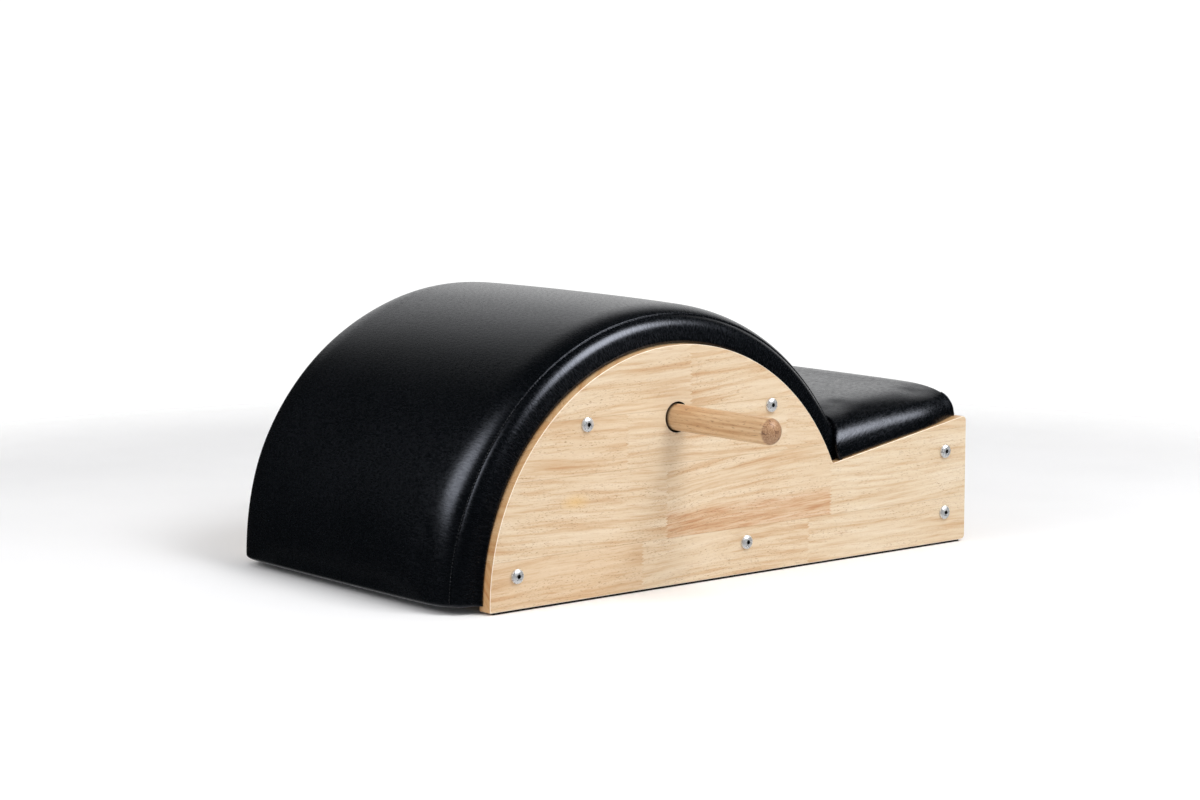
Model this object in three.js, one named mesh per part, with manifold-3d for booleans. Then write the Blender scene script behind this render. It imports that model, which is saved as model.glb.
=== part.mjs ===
import * as THREE from 'three';
import { mergeVertices } from 'three/addons/utils/BufferGeometryUtils.js';
import Module from 'manifold-3d';

// Pilates spine corrector: an upholstered half barrel with a low sloping seat behind it,
// held between two solid wood side panels, with a push-in dowel handle on each side.
// Millimetres, +Z up. +X runs towards the seat end and the two panels face -Y and +Y.
// Near is the -Y side and far is the +Y side.

// Overall frame: the panels reach SEAT_REACH beyond the half circle of the barrel
const ARCH_RADIUS = 290;
const ARCH_CENTRE_LIFT = 7;
const SEAT_REACH = 220;
const BODY_WIDTH = 498;
const PANEL_LENGTH = 2 * ARCH_RADIUS + SEAT_REACH;
const PANEL_THICKNESS = 21;
const SEAT_END_HEIGHT = 167;
const SEAT_SLOPE = THREE.MathUtils.degToRad(9.65);
const PANEL_CORNER_RADIUS = 6;
const PANEL_ARRIS = 1.2;

// Clearances
const FIT = 0.3;
const CURVE_FIT = 0.6;
const FOAM_FIT = 0.9;
const PAD_GAP = 1.5;
const CUT_OVERRUN = 5;

// Feet
const STRIP_THICKNESS = 3;
const STRIP_SIDE_INSET = 3;
const STRIP_WIDTH = PANEL_THICKNESS - 2 * STRIP_SIDE_INSET;
const STRIP_END_INSET = 8;

// Machine bolts, their threaded inserts and where they go through a panel
const BOLT_SHANK_RADIUS = 4;
const BOLT_LENGTH = 62;
const BOLT_HEAD_RADIUS = 9;
const BOLT_HEAD_HEIGHT = 4.6;
const BOLT_HEAD_RIM = 1.1;
const BOLT_TIP_CHAMFER = 0.8;
const HEX_SOCKET_RADIUS = 3;
const HEX_SOCKET_DEPTH = 2.8;
const BOLT_CLEARANCE = 0.6;
const BOLT_HOLE_RADIUS = BOLT_SHANK_RADIUS + BOLT_CLEARANCE;
const INSERT_WALL = 3;
const INSERT_RADIUS = BOLT_SHANK_RADIUS + INSERT_WALL;
const INSERT_LENGTH = 25;
const BOLT_EDGE_INSET = 40;
const MIDDLE_BOLT_OFFSET = 115;
const FRONT_ARCH_BOLT_INSET = 40.5;
const FRONT_ARCH_BOLT_ANGLE = THREE.MathUtils.degToRad(125);
const REAR_ARCH_BOLT_INSET = 34;
const REAR_ARCH_BOLT_ANGLE = THREE.MathUtils.degToRad(52.5);
const HIGH_END_BOLT_DROP = 45;

// Timber inside
const RAIL_WIDTH = 40;
const END_BOARD_THICKNESS = 22;
const END_BOARD_FOOT = 18;
const RIB_THICKNESS = 18;
const RIB_SOCKET_GAP = 30.7;
const RIB_FOOT = 9;
const RIB_BAND = 65;
const RIB_SILL = 78;
const ARCH_DECK_THICKNESS = 9;
const SEAT_DECK_THICKNESS = 12;
const SEAT_DECK_DROP = 6;
const DECK_SIDE_INSET = 2.5;

// Handles and the blocks that hold them
const HANDLE_RADIUS = 16.5;
const HANDLE_REACH = 178;
const HANDLE_DROP = 89;
const HANDLE_TIP_DOME = 7;
const HANDLE_TIP_ROUND = 4;
const HANDLE_HEEL_CHAMFER = 1.5;
const HANDLE_HOLE_CLEARANCE = 2.5;
const PANEL_HANDLE_HOLE_RADIUS = HANDLE_RADIUS + HANDLE_HOLE_CLEARANCE;
const SOCKET_DEPTH = 100;
const SOCKET_BACK_WALL = 12;
const SOCKET_SIDE_WALL = 19.5;
const SOCKET_BLOCK_SIDE = 2 * (HANDLE_RADIUS + SOCKET_SIDE_WALL);
const SOCKET_LENGTH = SOCKET_DEPTH + SOCKET_BACK_WALL;

// Upholstery
const COVER_THICKNESS = 1.6;
const COVER_RETURN = 20;
const ARCH_PAD_TUCK = THREE.MathUtils.degToRad(4.07);
const ARCH_PAD_END = Math.PI;
const ARCH_PAD = {
  deckTop: ARCH_DECK_THICKNESS + CURVE_FIT,
  sideTop: 36,
  seamHeight: 43,
  seamInset: 2.5,
  seamGroove: 1.2,
  shoulderWidth: 14,
  crest: 58,
  crownDrop: 7.4,
  endRoll: 12,
  steps: 24,
};
const SEAT_PAD = {
  deckTop: SEAT_DECK_THICKNESS + FIT,
  sideTop: 26,
  seamHeight: 32,
  seamInset: 2,
  seamGroove: 1.2,
  shoulderWidth: 30,
  crest: 63.5,
  crownDrop: 15,
  endRoll: 9,
  steps: 8,
};
const SEAT_PAD_END_INSET = 4;

// How finely round stretches are divided
const ARCH_STEPS = 36;
const CORNER_STEPS = 4;
const SMALL_HOLE_STEPS = 12;
const DOWEL_STEPS = 24;
const BOLT_STEPS = 12;

// Where the rolled end of a pad gets its rings, as shares of the roll
const END_ROLL_SHARES = [0, 0.12, 0.45, 1];
const INNER_END_ROLL_SHARES = [0, 0.3, 1];
// Points up the dome of a bolt head and the rounded tip of a handle, as shares of a quarter turn
const DOME_SHARES = [0.35, 0.7];
// Points of the crown between the two shoulders, as shares of the half width
const CROWN_SHARES = [-1, -0.5, 0, 0.5, 1];
// Points of the shoulder from the seam up, as shares of a quarter turn
const SHOULDER_SHARES = [0, 0.4, 0.75];
const INNER_SHOULDER_SHARES = [0, 0.5];

// Derived places
const SLOPE_RISE = Math.tan(SEAT_SLOPE);
const ARCH_X = ARCH_RADIUS;
const ARCH_Z = ARCH_CENTRE_LIFT;
const INNER_HALF = BODY_WIDTH / 2 - PANEL_THICKNESS;
const RAIL_LENGTH = 2 * (INNER_HALF - FIT);
const ARCH_DECK_OUTER = ARCH_RADIUS - FIT;
const ARCH_DECK_INNER = ARCH_DECK_OUTER - ARCH_DECK_THICKNESS;
const CREST_RADIUS = ARCH_DECK_INNER + ARCH_PAD.crest;
const COVER_HALF = INNER_HALF - FIT;
const RIB_Y = INNER_HALF - FIT - SOCKET_LENGTH - RIB_SOCKET_GAP - RIB_THICKNESS / 2;
const DECK_HALF = COVER_HALF - DECK_SIDE_INSET;
const RAIL_REACH = ARCH_DECK_INNER - COVER_THICKNESS - CURVE_FIT;
const RAIL_TOP = Math.sqrt(RAIL_REACH ** 2 - (RAIL_WIDTH / 2) ** 2);
const RAIL_DEPTH = 2 * (RAIL_TOP - ARCH_RADIUS + REAR_ARCH_BOLT_INSET);
const END_BOARD_X = PANEL_LENGTH - BOLT_EDGE_INSET;
const HANDLE_X = ARCH_X;
const HANDLE_HEIGHT = ARCH_Z + ARCH_RADIUS - HANDLE_DROP;
const SEAT_TANGENT = new THREE.Vector2(Math.cos(SEAT_SLOPE), Math.sin(SEAT_SLOPE));
const SEAT_NORMAL = new THREE.Vector2(-SEAT_TANGENT.y, SEAT_TANGENT.x);
const NOTCH_ANGLE = notchAngle();
const ARCH_PAD_START = NOTCH_ANGLE - ARCH_PAD_TUCK;

// A bolt under the arch, by its distance in from the rim and its angle about the arch centre
function archSpot(inset, angle) {
  const radius = ARCH_RADIUS - inset;
  return { x: ARCH_X + radius * Math.cos(angle), z: ARCH_Z + radius * Math.sin(angle) };
}

const BOLT_SPOTS = {
  front_low: { x: BOLT_EDGE_INSET, z: BOLT_EDGE_INSET },
  arch_front: archSpot(FRONT_ARCH_BOLT_INSET, FRONT_ARCH_BOLT_ANGLE),
  arch_rear: archSpot(REAR_ARCH_BOLT_INSET, REAR_ARCH_BOLT_ANGLE),
  middle_low: { x: ARCH_X + MIDDLE_BOLT_OFFSET, z: BOLT_EDGE_INSET },
  end_low: { x: END_BOARD_X, z: BOLT_EDGE_INSET },
  end_high: { x: END_BOARD_X, z: SEAT_END_HEIGHT - HIGH_END_BOLT_DROP },
};

const SIDES = { near: -1, far: 1 };

const wasm = await Module();
wasm.setup();

// Heights of the panels' sloping edge, and of anything parallel to it, at a place along X
function seatLine(x, offset) {
  return SEAT_END_HEIGHT - (PANEL_LENGTH - x) * SLOPE_RISE + offset / Math.cos(SEAT_SLOPE);
}

// The far crossing of the line (start + t * direction) with a circle about the arch centre
function reachCircle(start, direction, radius) {
  const dx = start.x - ARCH_X;
  const dz = start.y - ARCH_Z;
  const half = dx * direction.x + dz * direction.y;
  return -half + Math.sqrt(half * half - (dx * dx + dz * dz - radius * radius));
}

// Angle about the arch centre at which the panels' sloping edge meets their half circle
function notchAngle() {
  const start = new THREE.Vector2(0, seatLine(0, 0));
  const reach = reachCircle(start, SEAT_TANGENT, ARCH_RADIUS);
  const notch = start.addScaledVector(SEAT_TANGENT, reach);
  return Math.atan2(notch.y - ARCH_Z, notch.x - ARCH_X);
}

function arcPoints(cx, cz, radius, from, to, steps) {
  return Array.from({ length: steps + 1 }, (_, i) => {
    const angle = from + (to - from) * (i / steps);
    return new THREE.Vector2(cx + radius * Math.cos(angle), cz + radius * Math.sin(angle));
  });
}

function circlePath(cx, cz, radius, steps) {
  return new THREE.Path(arcPoints(cx, cz, radius, 0, 2 * Math.PI, steps).slice(0, steps));
}

// A plate with eased edges that stands in the XZ plane, centred on Y
function plate(outline, holes, thickness, arris) {
  const shape = new THREE.Shape(outline);
  shape.holes = holes;
  const geometry = new THREE.ExtrudeGeometry(shape, {
    depth: thickness - 2 * arris,
    bevelEnabled: arris > 0,
    bevelThickness: arris,
    bevelSize: arris,
    bevelOffset: -arris,
    bevelSegments: 1,
  });
  geometry.translate(0, 0, arris - thickness / 2);
  return geometry.rotateX(Math.PI / 2);
}

// A skin through one closed outline of points per ring, with both ends capped
function loft(rings, flat) {
  const count = flat.length;
  const index = [];
  for (let i = 0; i < rings.length - 1; i += 1) {
    for (let j = 0; j < count; j += 1) {
      const a = i * count + j;
      const b = i * count + ((j + 1) % count);
      index.push(a, b, a + count, b, b + count, a + count);
    }
  }
  const last = (rings.length - 1) * count;
  for (const [a, b, c] of THREE.ShapeUtils.triangulateShape(flat, [])) {
    index.push(c, b, a);
    index.push(last + a, last + b, last + c);
  }
  const geometry = new THREE.BufferGeometry();
  geometry.setAttribute('position', new THREE.Float32BufferAttribute(rings.flat(2), 3));
  geometry.setIndex(index);
  return geometry;
}

function toSolid(geometry) {
  const bare = geometry.clone();
  bare.deleteAttribute('normal');
  bare.deleteAttribute('uv');
  const merged = mergeVertices(bare);
  const vertProperties = new Float32Array(merged.attributes.position.array);
  const triVerts = new Uint32Array(merged.index.array);
  return new wasm.Manifold(new wasm.Mesh({ numProp: 3, vertProperties, triVerts }));
}

function cut(geometry, tools) {
  const body = tools.reduce((rest, tool) => rest.subtract(toSolid(tool)), toSolid(geometry));
  const { vertProperties, triVerts } = body.getMesh();
  const result = new THREE.BufferGeometry();
  result.setAttribute('position', new THREE.BufferAttribute(vertProperties, 3));
  result.setIndex(new THREE.BufferAttribute(triVerts, 1));
  return result;
}

function makeMesh(name, geometry, material, x = 0, y = 0, z = 0) {
  const look = new THREE.MeshStandardMaterial(material);
  const mesh = new THREE.Mesh(geometry, look);
  mesh.name = name;
  mesh.position.set(x, y, z);
  return mesh;
}

const RUBBERWOOD = { color: '#dfbf93', roughness: 0.5, metalness: 0 };
const HANDLE_WOOD = { color: '#d2a878', roughness: 0.5, metalness: 0 };
const PLYWOOD = { color: '#cfae7c', roughness: 0.7, metalness: 0 };
const PINE = { color: '#d9bd8c', roughness: 0.7, metalness: 0 };
const VINYL = { color: '#101114', roughness: 0.42, metalness: 0 };
const FOAM = { color: '#e6dfc2', roughness: 0.95, metalness: 0 };
const CHROME = { color: '#c9ccd0', roughness: 0.15, metalness: 1 };
const ZINC = { color: '#b8a878', roughness: 0.4, metalness: 1 };
const RUBBER = { color: '#17130f', roughness: 0.85, metalness: 0 };

// Side panels: a half circle over the barrel, a notch, and a straight edge rising to the end
function panelOutline() {
  const corner = PANEL_CORNER_RADIUS;
  const right = PANEL_LENGTH - corner;
  const top = seatLine(right, -corner);
  const slopeNormal = Math.PI / 2 + SEAT_SLOPE;
  return [
    new THREE.Vector2(0, 0),
    ...arcPoints(right, corner, corner, -Math.PI / 2, 0, CORNER_STEPS),
    ...arcPoints(right, top, corner, 0, slopeNormal, CORNER_STEPS),
    ...arcPoints(ARCH_X, ARCH_Z, ARCH_RADIUS, NOTCH_ANGLE, Math.PI, ARCH_STEPS),
  ];
}

function panelHoles() {
  const holes = Object.values(BOLT_SPOTS).map(({ x, z }) => (
    circlePath(x, z, BOLT_HOLE_RADIUS, SMALL_HOLE_STEPS)));
  holes.push(circlePath(HANDLE_X, HANDLE_HEIGHT, PANEL_HANDLE_HOLE_RADIUS, DOWEL_STEPS));
  return holes;
}

function sidePanel(side) {
  const geometry = plate(panelOutline(), panelHoles(), PANEL_THICKNESS, PANEL_ARRIS);
  const y = SIDES[side] * (BODY_WIDTH - PANEL_THICKNESS) / 2;
  return makeMesh(`side_panel_${side}`, geometry, RUBBERWOOD, 0, y, 0);
}

function footStrip(side) {
  const length = PANEL_LENGTH - 2 * STRIP_END_INSET;
  const geometry = new THREE.BoxGeometry(length, STRIP_WIDTH, STRIP_THICKNESS);
  const y = SIDES[side] * (BODY_WIDTH - PANEL_THICKNESS) / 2;
  const z = -STRIP_THICKNESS / 2;
  return makeMesh(`foot_strip_${side}`, geometry, RUBBER, PANEL_LENGTH / 2, y, z);
}

// Tools that bore both ends of a cross piece for an insert and the bolt's tip beyond it
function endBores(z) {
  const bores = [];
  for (const side of Object.values(SIDES)) {
    const sizes = [
      { radius: INSERT_RADIUS + FIT, depth: INSERT_LENGTH + FIT },
      { radius: BOLT_HOLE_RADIUS, depth: BOLT_LENGTH - PANEL_THICKNESS + CUT_OVERRUN },
    ];
    for (const { radius, depth } of sizes) {
      const length = depth + CUT_OVERRUN;
      const bore = new THREE.CylinderGeometry(radius, radius, length, SMALL_HOLE_STEPS);
      const y = side * (RAIL_LENGTH / 2 - depth + length / 2);
      bores.push(bore.translate(0, y, z));
    }
  }
  return bores;
}

// Angle about Y that turns a rail's depth away from the arch centre
function outwardTurn({ x, z }) {
  return Math.atan2(x - ARCH_X, z - ARCH_Z);
}

const RAIL_TURNS = {
  front_low: outwardTurn(BOLT_SPOTS.front_low),
  arch_front: outwardTurn(BOLT_SPOTS.arch_front),
  arch_rear: outwardTurn(BOLT_SPOTS.arch_rear),
  middle_low: 0,
};

function crossRail(spot) {
  const box = new THREE.BoxGeometry(RAIL_WIDTH, RAIL_LENGTH, RAIL_DEPTH);
  const { x, z } = BOLT_SPOTS[spot];
  const mesh = makeMesh(`rail_${spot}`, cut(box, endBores(0)), PINE, x, 0, z);
  mesh.rotation.y = RAIL_TURNS[spot];
  return mesh;
}

function seatDeckUnderside(x) {
  return seatLine(x, -SEAT_DECK_DROP - SEAT_DECK_THICKNESS);
}

// Top of what the seat rests on: just under the cover's turned-in edge
function seatRest(x) {
  return seatDeckUnderside(x) - (COVER_THICKNESS + FIT) / Math.cos(SEAT_SLOPE);
}

// Upright board across the seat end, under the seat deck
function endBoard() {
  const front = END_BOARD_X - END_BOARD_THICKNESS / 2;
  const top = seatRest(front);
  const height = top - END_BOARD_FOOT;
  const middle = END_BOARD_FOOT + height / 2;
  const box = new THREE.BoxGeometry(END_BOARD_THICKNESS, RAIL_LENGTH, height);
  const bores = [
    ...endBores(BOLT_SPOTS.end_low.z - middle),
    ...endBores(BOLT_SPOTS.end_high.z - middle),
  ];
  return makeMesh('end_board', cut(box, bores), PINE, END_BOARD_X, 0, middle);
}

// Notches that let the rib down over each rail, open to the rim or to the foot
function ribNotches() {
  const width = RAIL_WIDTH + 2 * FIT;
  const depth = RAIL_DEPTH / 2 + FIT;
  const notches = [];
  const addNotch = (spot, turn, reach) => {
    const { x, z } = BOLT_SPOTS[spot];
    const height = depth + reach;
    const tool = new THREE.BoxGeometry(width, RIB_THICKNESS + 2 * CUT_OVERRUN, height);
    tool.translate(0, 0, (reach - depth) / 2);
    tool.rotateY(turn);
    notches.push(tool.translate(x, 0, z));
  };
  for (const spot of ['front_low', 'arch_front', 'arch_rear']) {
    addNotch(spot, RAIL_TURNS[spot], RAIL_DEPTH);
  }
  addNotch('middle_low', Math.PI, BOLT_EDGE_INSET);
  notches.push(ribToe());
  return notches;
}

// Clears the sliver of rib that would be left between the lowest rail and the floor
function ribToe() {
  const { x, z } = BOLT_SPOTS.front_low;
  const length = x + RAIL_DEPTH / 2 + FIT;
  const tool = new THREE.BoxGeometry(length, RIB_THICKNESS + 2 * CUT_OVERRUN, z);
  return tool.translate(length / 2, 0, z / 2);
}

// Upright plywood rib that carries both decks between the panels
function ribGeometry() {
  const rim = ARCH_DECK_INNER - FIT;
  const reliefRim = RAIL_REACH;
  const heel = Math.PI - Math.asin((RIB_FOOT - ARCH_Z) / rim);
  const restAngle = ARCH_PAD_START - FIT / rim;
  const reliefAngle = ARCH_PAD_START + (COVER_RETURN + FIT) / rim;
  const back = END_BOARD_X - END_BOARD_THICKNESS / 2 - FIT;
  const rest = new THREE.Vector2(Math.cos(restAngle), Math.sin(restAngle));
  const underSlope = seatRest(ARCH_X) - ARCH_Z;
  const meet = underSlope / (rest.y - rest.x * SLOPE_RISE);
  const outline = [
    new THREE.Vector2(back, RIB_FOOT),
    new THREE.Vector2(back, seatRest(back)),
    new THREE.Vector2(ARCH_X + rest.x * meet, ARCH_Z + rest.y * meet),
    ...arcPoints(ARCH_X, ARCH_Z, reliefRim, restAngle, reliefAngle, CORNER_STEPS),
    ...arcPoints(ARCH_X, ARCH_Z, rim, reliefAngle, heel, ARCH_STEPS),
  ];
  const windowRadius = rim - RIB_BAND;
  const sill = Math.asin((RIB_SILL - ARCH_Z) / windowRadius);
  const window = arcPoints(ARCH_X, ARCH_Z, windowRadius, sill, Math.PI - sill, ARCH_STEPS / 2);
  return cut(plate(outline, [new THREE.Path(window)], RIB_THICKNESS, 0), ribNotches());
}

function rib(side) {
  return makeMesh(`rib_${side}`, ribGeometry(), PLYWOOD, 0, SIDES[side] * RIB_Y, 0);
}

// Bent plywood under the barrel pad, held inside the cover's turned-in edges
function archDeck() {
  const endGap = (COVER_THICKNESS + FIT) / ARCH_DECK_INNER;
  const from = ARCH_PAD_START + endGap;
  const to = ARCH_PAD_END - endGap;
  const deckFoot = ARCH_DECK_INNER + CURVE_FIT;
  const outer = arcPoints(ARCH_X, ARCH_Z, ARCH_DECK_OUTER, from, to, ARCH_PAD.steps);
  const inner = arcPoints(ARCH_X, ARCH_Z, deckFoot, to, from, ARCH_PAD.steps);
  return makeMesh('arch_deck', plate([...outer, ...inner], [], 2 * DECK_HALF, 0), PLYWOOD);
}

// The cross-section of a pad, across Y and up from the underside of its deck
function padOutline(pad, half, inset, draw, seam) {
  const width = half - inset - draw;
  const crown = (y) => pad.crest - inset - draw - pad.crownDrop * (y / half) ** 2;
  const flat = width - pad.shoulderWidth + pad.seamInset;
  const seamY = width - pad.seamInset;
  const seamZ = pad.seamHeight - draw;
  const shoulderRise = crown(flat) - seamZ;
  const rising = [new THREE.Vector2(width, pad.sideTop - draw)];
  if (seam) {
    rising.push(new THREE.Vector2(seamY + pad.seamGroove / 2, seamZ - pad.seamGroove));
    rising.push(new THREE.Vector2(seamY - pad.seamGroove, seamZ));
  }
  for (const share of seam ? SHOULDER_SHARES : INNER_SHOULDER_SHARES) {
    const turn = share * Math.PI / 2;
    const y = flat + (seamY - flat) * Math.cos(turn);
    const z = seamZ + (seam ? pad.seamGroove : 0) * (1 - share) + shoulderRise * Math.sin(turn);
    rising.push(new THREE.Vector2(y, z));
  }
  const top = CROWN_SHARES.map((share) => new THREE.Vector2(-share * flat, crown(share * flat)));
  const falling = rising.map((point) => new THREE.Vector2(-point.x, point.y)).reverse();
  return [...rising, ...top, ...falling];
}

// Pads lengthwise: rings close together in the rolled ends and even between them
function padStations(length, inset, roll, steps, endShares) {
  const ends = endShares.map((share) => share * roll);
  const middle = length - 2 * inset - 2 * roll;
  const even = Array.from({ length: steps - 1 }, (_, i) => roll + middle * (i + 1) / steps);
  const whole = [...ends, ...even, ...ends.map((end) => length - 2 * inset - end).reverse()];
  return whole.map((along) => {
    const fromEnd = Math.min(along, length - 2 * inset - along, roll);
    const draw = roll - Math.sqrt(roll * roll - (roll - fromEnd) ** 2);
    return { along: along + inset, draw };
  });
}

// One layer of a pad: its skin at a depth below the outside, from the height called base up.
// Up to the top of its deck the sides stay straight, and only the foam above is drawn in.
function padLayer(pad, place, length, half, inset, base, seam = false) {
  const width = half - inset;
  const levels = base < pad.deckTop ? [pad.deckTop, base] : [base];
  const leftSide = levels.map((level) => new THREE.Vector2(-width, level));
  const rightSide = levels.map((level) => new THREE.Vector2(width, level)).reverse();
  const endShares = seam ? END_ROLL_SHARES : INNER_END_ROLL_SHARES;
  const roll = pad.endRoll - Math.min(inset, COVER_THICKNESS);
  const stations = padStations(length, inset, roll, pad.steps, endShares);
  const rings = [];
  let flat = null;
  for (const { along, draw } of stations) {
    const outline = [...padOutline(pad, half, inset, draw, seam), ...leftSide, ...rightSide];
    rings.push(outline.map((point) => place(along, point.x, point.y)));
    flat = flat ?? outline;
  }
  return loft(rings, flat);
}

// A cover is its outside less the room for foam and deck, less the mouth between its returns
function padCover(pad, place, length, half) {
  const outside = padLayer(pad, place, length, half, 0, -COVER_THICKNESS, true);
  const room = padLayer(pad, place, length, half, COVER_THICKNESS, 0);
  const mouth = mouthTool(place, length, half, pad.steps);
  return cut(outside, [room, mouth]);
}

function mouthTool(place, length, half, steps) {
  const top = COVER_THICKNESS;
  const low = -COVER_THICKNESS - CUT_OVERRUN;
  const width = half - COVER_RETURN;
  const outline = [
    new THREE.Vector2(width, top),
    new THREE.Vector2(-width, top),
    new THREE.Vector2(-width, low),
    new THREE.Vector2(width, low),
  ];
  const span = length - 2 * COVER_RETURN;
  const rings = Array.from({ length: steps + 1 }, (_, i) => (
    outline.map((point) => place(COVER_RETURN + span * i / steps, point.x, point.y))));
  return loft(rings, outline);
}

// Bends a pad round the barrel: lengths are measured along the underside of the deck
const ARCH_PAD_LENGTH = (ARCH_PAD_END - ARCH_PAD_START) * ARCH_DECK_INNER;
function onArch(along, y, height) {
  const angle = ARCH_PAD_END - along / ARCH_DECK_INNER;
  const radius = ARCH_DECK_INNER + height;
  return [ARCH_X + radius * Math.cos(angle), y, ARCH_Z + radius * Math.sin(angle)];
}

// Lays a pad on the sloping seat, its front face following the barrel pad behind a small gap
const SEAT_BASE = new THREE.Vector2(0, seatDeckUnderside(0));
const SEAT_PAD_BACK = (PANEL_LENGTH - SEAT_PAD_END_INSET) / SEAT_TANGENT.x;
function seatFront(height) {
  const start = SEAT_BASE.clone().addScaledVector(SEAT_NORMAL, height);
  return reachCircle(start, SEAT_TANGENT, CREST_RADIUS + PAD_GAP);
}
const SEAT_PAD_LENGTH = SEAT_PAD_BACK - seatFront(0);
function onSeat(along, y, height) {
  const front = seatFront(height);
  const reach = front + (SEAT_PAD_BACK - front) * along / SEAT_PAD_LENGTH;
  const spot = SEAT_BASE.clone().addScaledVector(SEAT_NORMAL, height);
  spot.addScaledVector(SEAT_TANGENT, reach);
  return [spot.x, y, spot.y];
}

function archCover() {
  return makeMesh('arch_cover', padCover(ARCH_PAD, onArch, ARCH_PAD_LENGTH, COVER_HALF), VINYL);
}

function archFoam() {
  const depth = COVER_THICKNESS + FOAM_FIT;
  const base = ARCH_PAD.deckTop;
  const foam = padLayer(ARCH_PAD, onArch, ARCH_PAD_LENGTH, COVER_HALF, depth, base);
  return makeMesh('arch_foam', foam, FOAM);
}

function seatCover() {
  return makeMesh('seat_cover', padCover(SEAT_PAD, onSeat, SEAT_PAD_LENGTH, COVER_HALF), VINYL);
}

function seatFoam() {
  const depth = COVER_THICKNESS + FOAM_FIT;
  const base = SEAT_PAD.deckTop;
  const foam = padLayer(SEAT_PAD, onSeat, SEAT_PAD_LENGTH, COVER_HALF, depth, base);
  return makeMesh('seat_foam', foam, FOAM);
}

// Plywood board under the seat pad, inside the cover's turned-in edges
function seatDeck() {
  const edge = COVER_THICKNESS + FIT;
  const front = seatFront(0) + edge;
  const back = SEAT_PAD_BACK - edge;
  const thickness = SEAT_DECK_THICKNESS - FIT;
  const box = new THREE.BoxGeometry(back - front, 2 * DECK_HALF, thickness);
  const middle = SEAT_BASE.clone().addScaledVector(SEAT_TANGENT, (front + back) / 2);
  middle.addScaledVector(SEAT_NORMAL, FIT + thickness / 2);
  const mesh = makeMesh('seat_deck', box, PLYWOOD, middle.x, 0, middle.y);
  mesh.rotation.y = -SEAT_SLOPE;
  return mesh;
}

// Dowel handle: its local +Y points out of the panel
function handle(side) {
  const heel = SOCKET_DEPTH + PANEL_THICKNESS - FIT;
  const shoulder = HANDLE_REACH - HANDLE_TIP_DOME;
  const flatRadius = HANDLE_RADIUS - HANDLE_TIP_ROUND;
  const tip = DOME_SHARES.map((share) => {
    const turn = share * Math.PI / 2;
    const radius = flatRadius + HANDLE_TIP_ROUND * Math.cos(turn);
    return new THREE.Vector2(radius, shoulder + HANDLE_TIP_ROUND * Math.sin(turn));
  });
  const profile = [
    new THREE.Vector2(0, -heel),
    new THREE.Vector2(HANDLE_RADIUS - HANDLE_HEEL_CHAMFER, -heel),
    new THREE.Vector2(HANDLE_RADIUS, -heel + HANDLE_HEEL_CHAMFER),
    new THREE.Vector2(HANDLE_RADIUS, shoulder),
    ...tip,
    new THREE.Vector2(flatRadius, shoulder + HANDLE_TIP_ROUND),
    new THREE.Vector2(flatRadius / 2, HANDLE_REACH - HANDLE_TIP_ROUND / 4),
    new THREE.Vector2(0, HANDLE_REACH),
  ];
  const geometry = new THREE.LatheGeometry(profile, DOWEL_STEPS);
  const y = SIDES[side] * BODY_WIDTH / 2;
  const mesh = makeMesh(`handle_${side}`, geometry, HANDLE_WOOD, HANDLE_X, y, HANDLE_HEIGHT);
  mesh.rotation.z = side === 'near' ? Math.PI : 0;
  return mesh;
}

// Block behind the panel with the blind bore that the handle pushes into
function handleSocket(side) {
  const box = new THREE.BoxGeometry(SOCKET_BLOCK_SIDE, SOCKET_LENGTH, SOCKET_BLOCK_SIDE);
  const radius = HANDLE_RADIUS + FIT;
  const boreLength = SOCKET_DEPTH + CUT_OVERRUN;
  const bore = new THREE.CylinderGeometry(radius, radius, boreLength, DOWEL_STEPS);
  const out = SIDES[side];
  bore.translate(0, out * (SOCKET_LENGTH / 2 - SOCKET_DEPTH + boreLength / 2), 0);
  const y = out * (INNER_HALF - FIT - SOCKET_LENGTH / 2);
  const name = `handle_socket_${side}`;
  return makeMesh(name, cut(box, [bore]), PINE, HANDLE_X, y, HANDLE_HEIGHT);
}

// Button-head bolt: its local +Y points out of the panel and its head rests on Y = 0
function boltGeometry() {
  const dome = DOME_SHARES.map((share) => {
    const turn = share * Math.PI / 2;
    const height = BOLT_HEAD_RIM + (BOLT_HEAD_HEIGHT - BOLT_HEAD_RIM) * Math.sin(turn);
    return new THREE.Vector2(BOLT_HEAD_RADIUS * Math.cos(turn), height);
  });
  const profile = [
    new THREE.Vector2(0, -BOLT_LENGTH),
    new THREE.Vector2(BOLT_SHANK_RADIUS - BOLT_TIP_CHAMFER, -BOLT_LENGTH),
    new THREE.Vector2(BOLT_SHANK_RADIUS, -BOLT_LENGTH + BOLT_TIP_CHAMFER),
    new THREE.Vector2(BOLT_SHANK_RADIUS, 0),
    new THREE.Vector2(BOLT_HEAD_RADIUS, 0),
    new THREE.Vector2(BOLT_HEAD_RADIUS, BOLT_HEAD_RIM),
    ...dome,
    new THREE.Vector2(0, BOLT_HEAD_HEIGHT),
  ];
  const depth = HEX_SOCKET_DEPTH + CUT_OVERRUN;
  const socket = new THREE.CylinderGeometry(HEX_SOCKET_RADIUS, HEX_SOCKET_RADIUS, depth, 6);
  socket.translate(0, BOLT_HEAD_HEIGHT - HEX_SOCKET_DEPTH + depth / 2, 0);
  return cut(new THREE.LatheGeometry(profile, BOLT_STEPS), [socket]);
}

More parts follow.
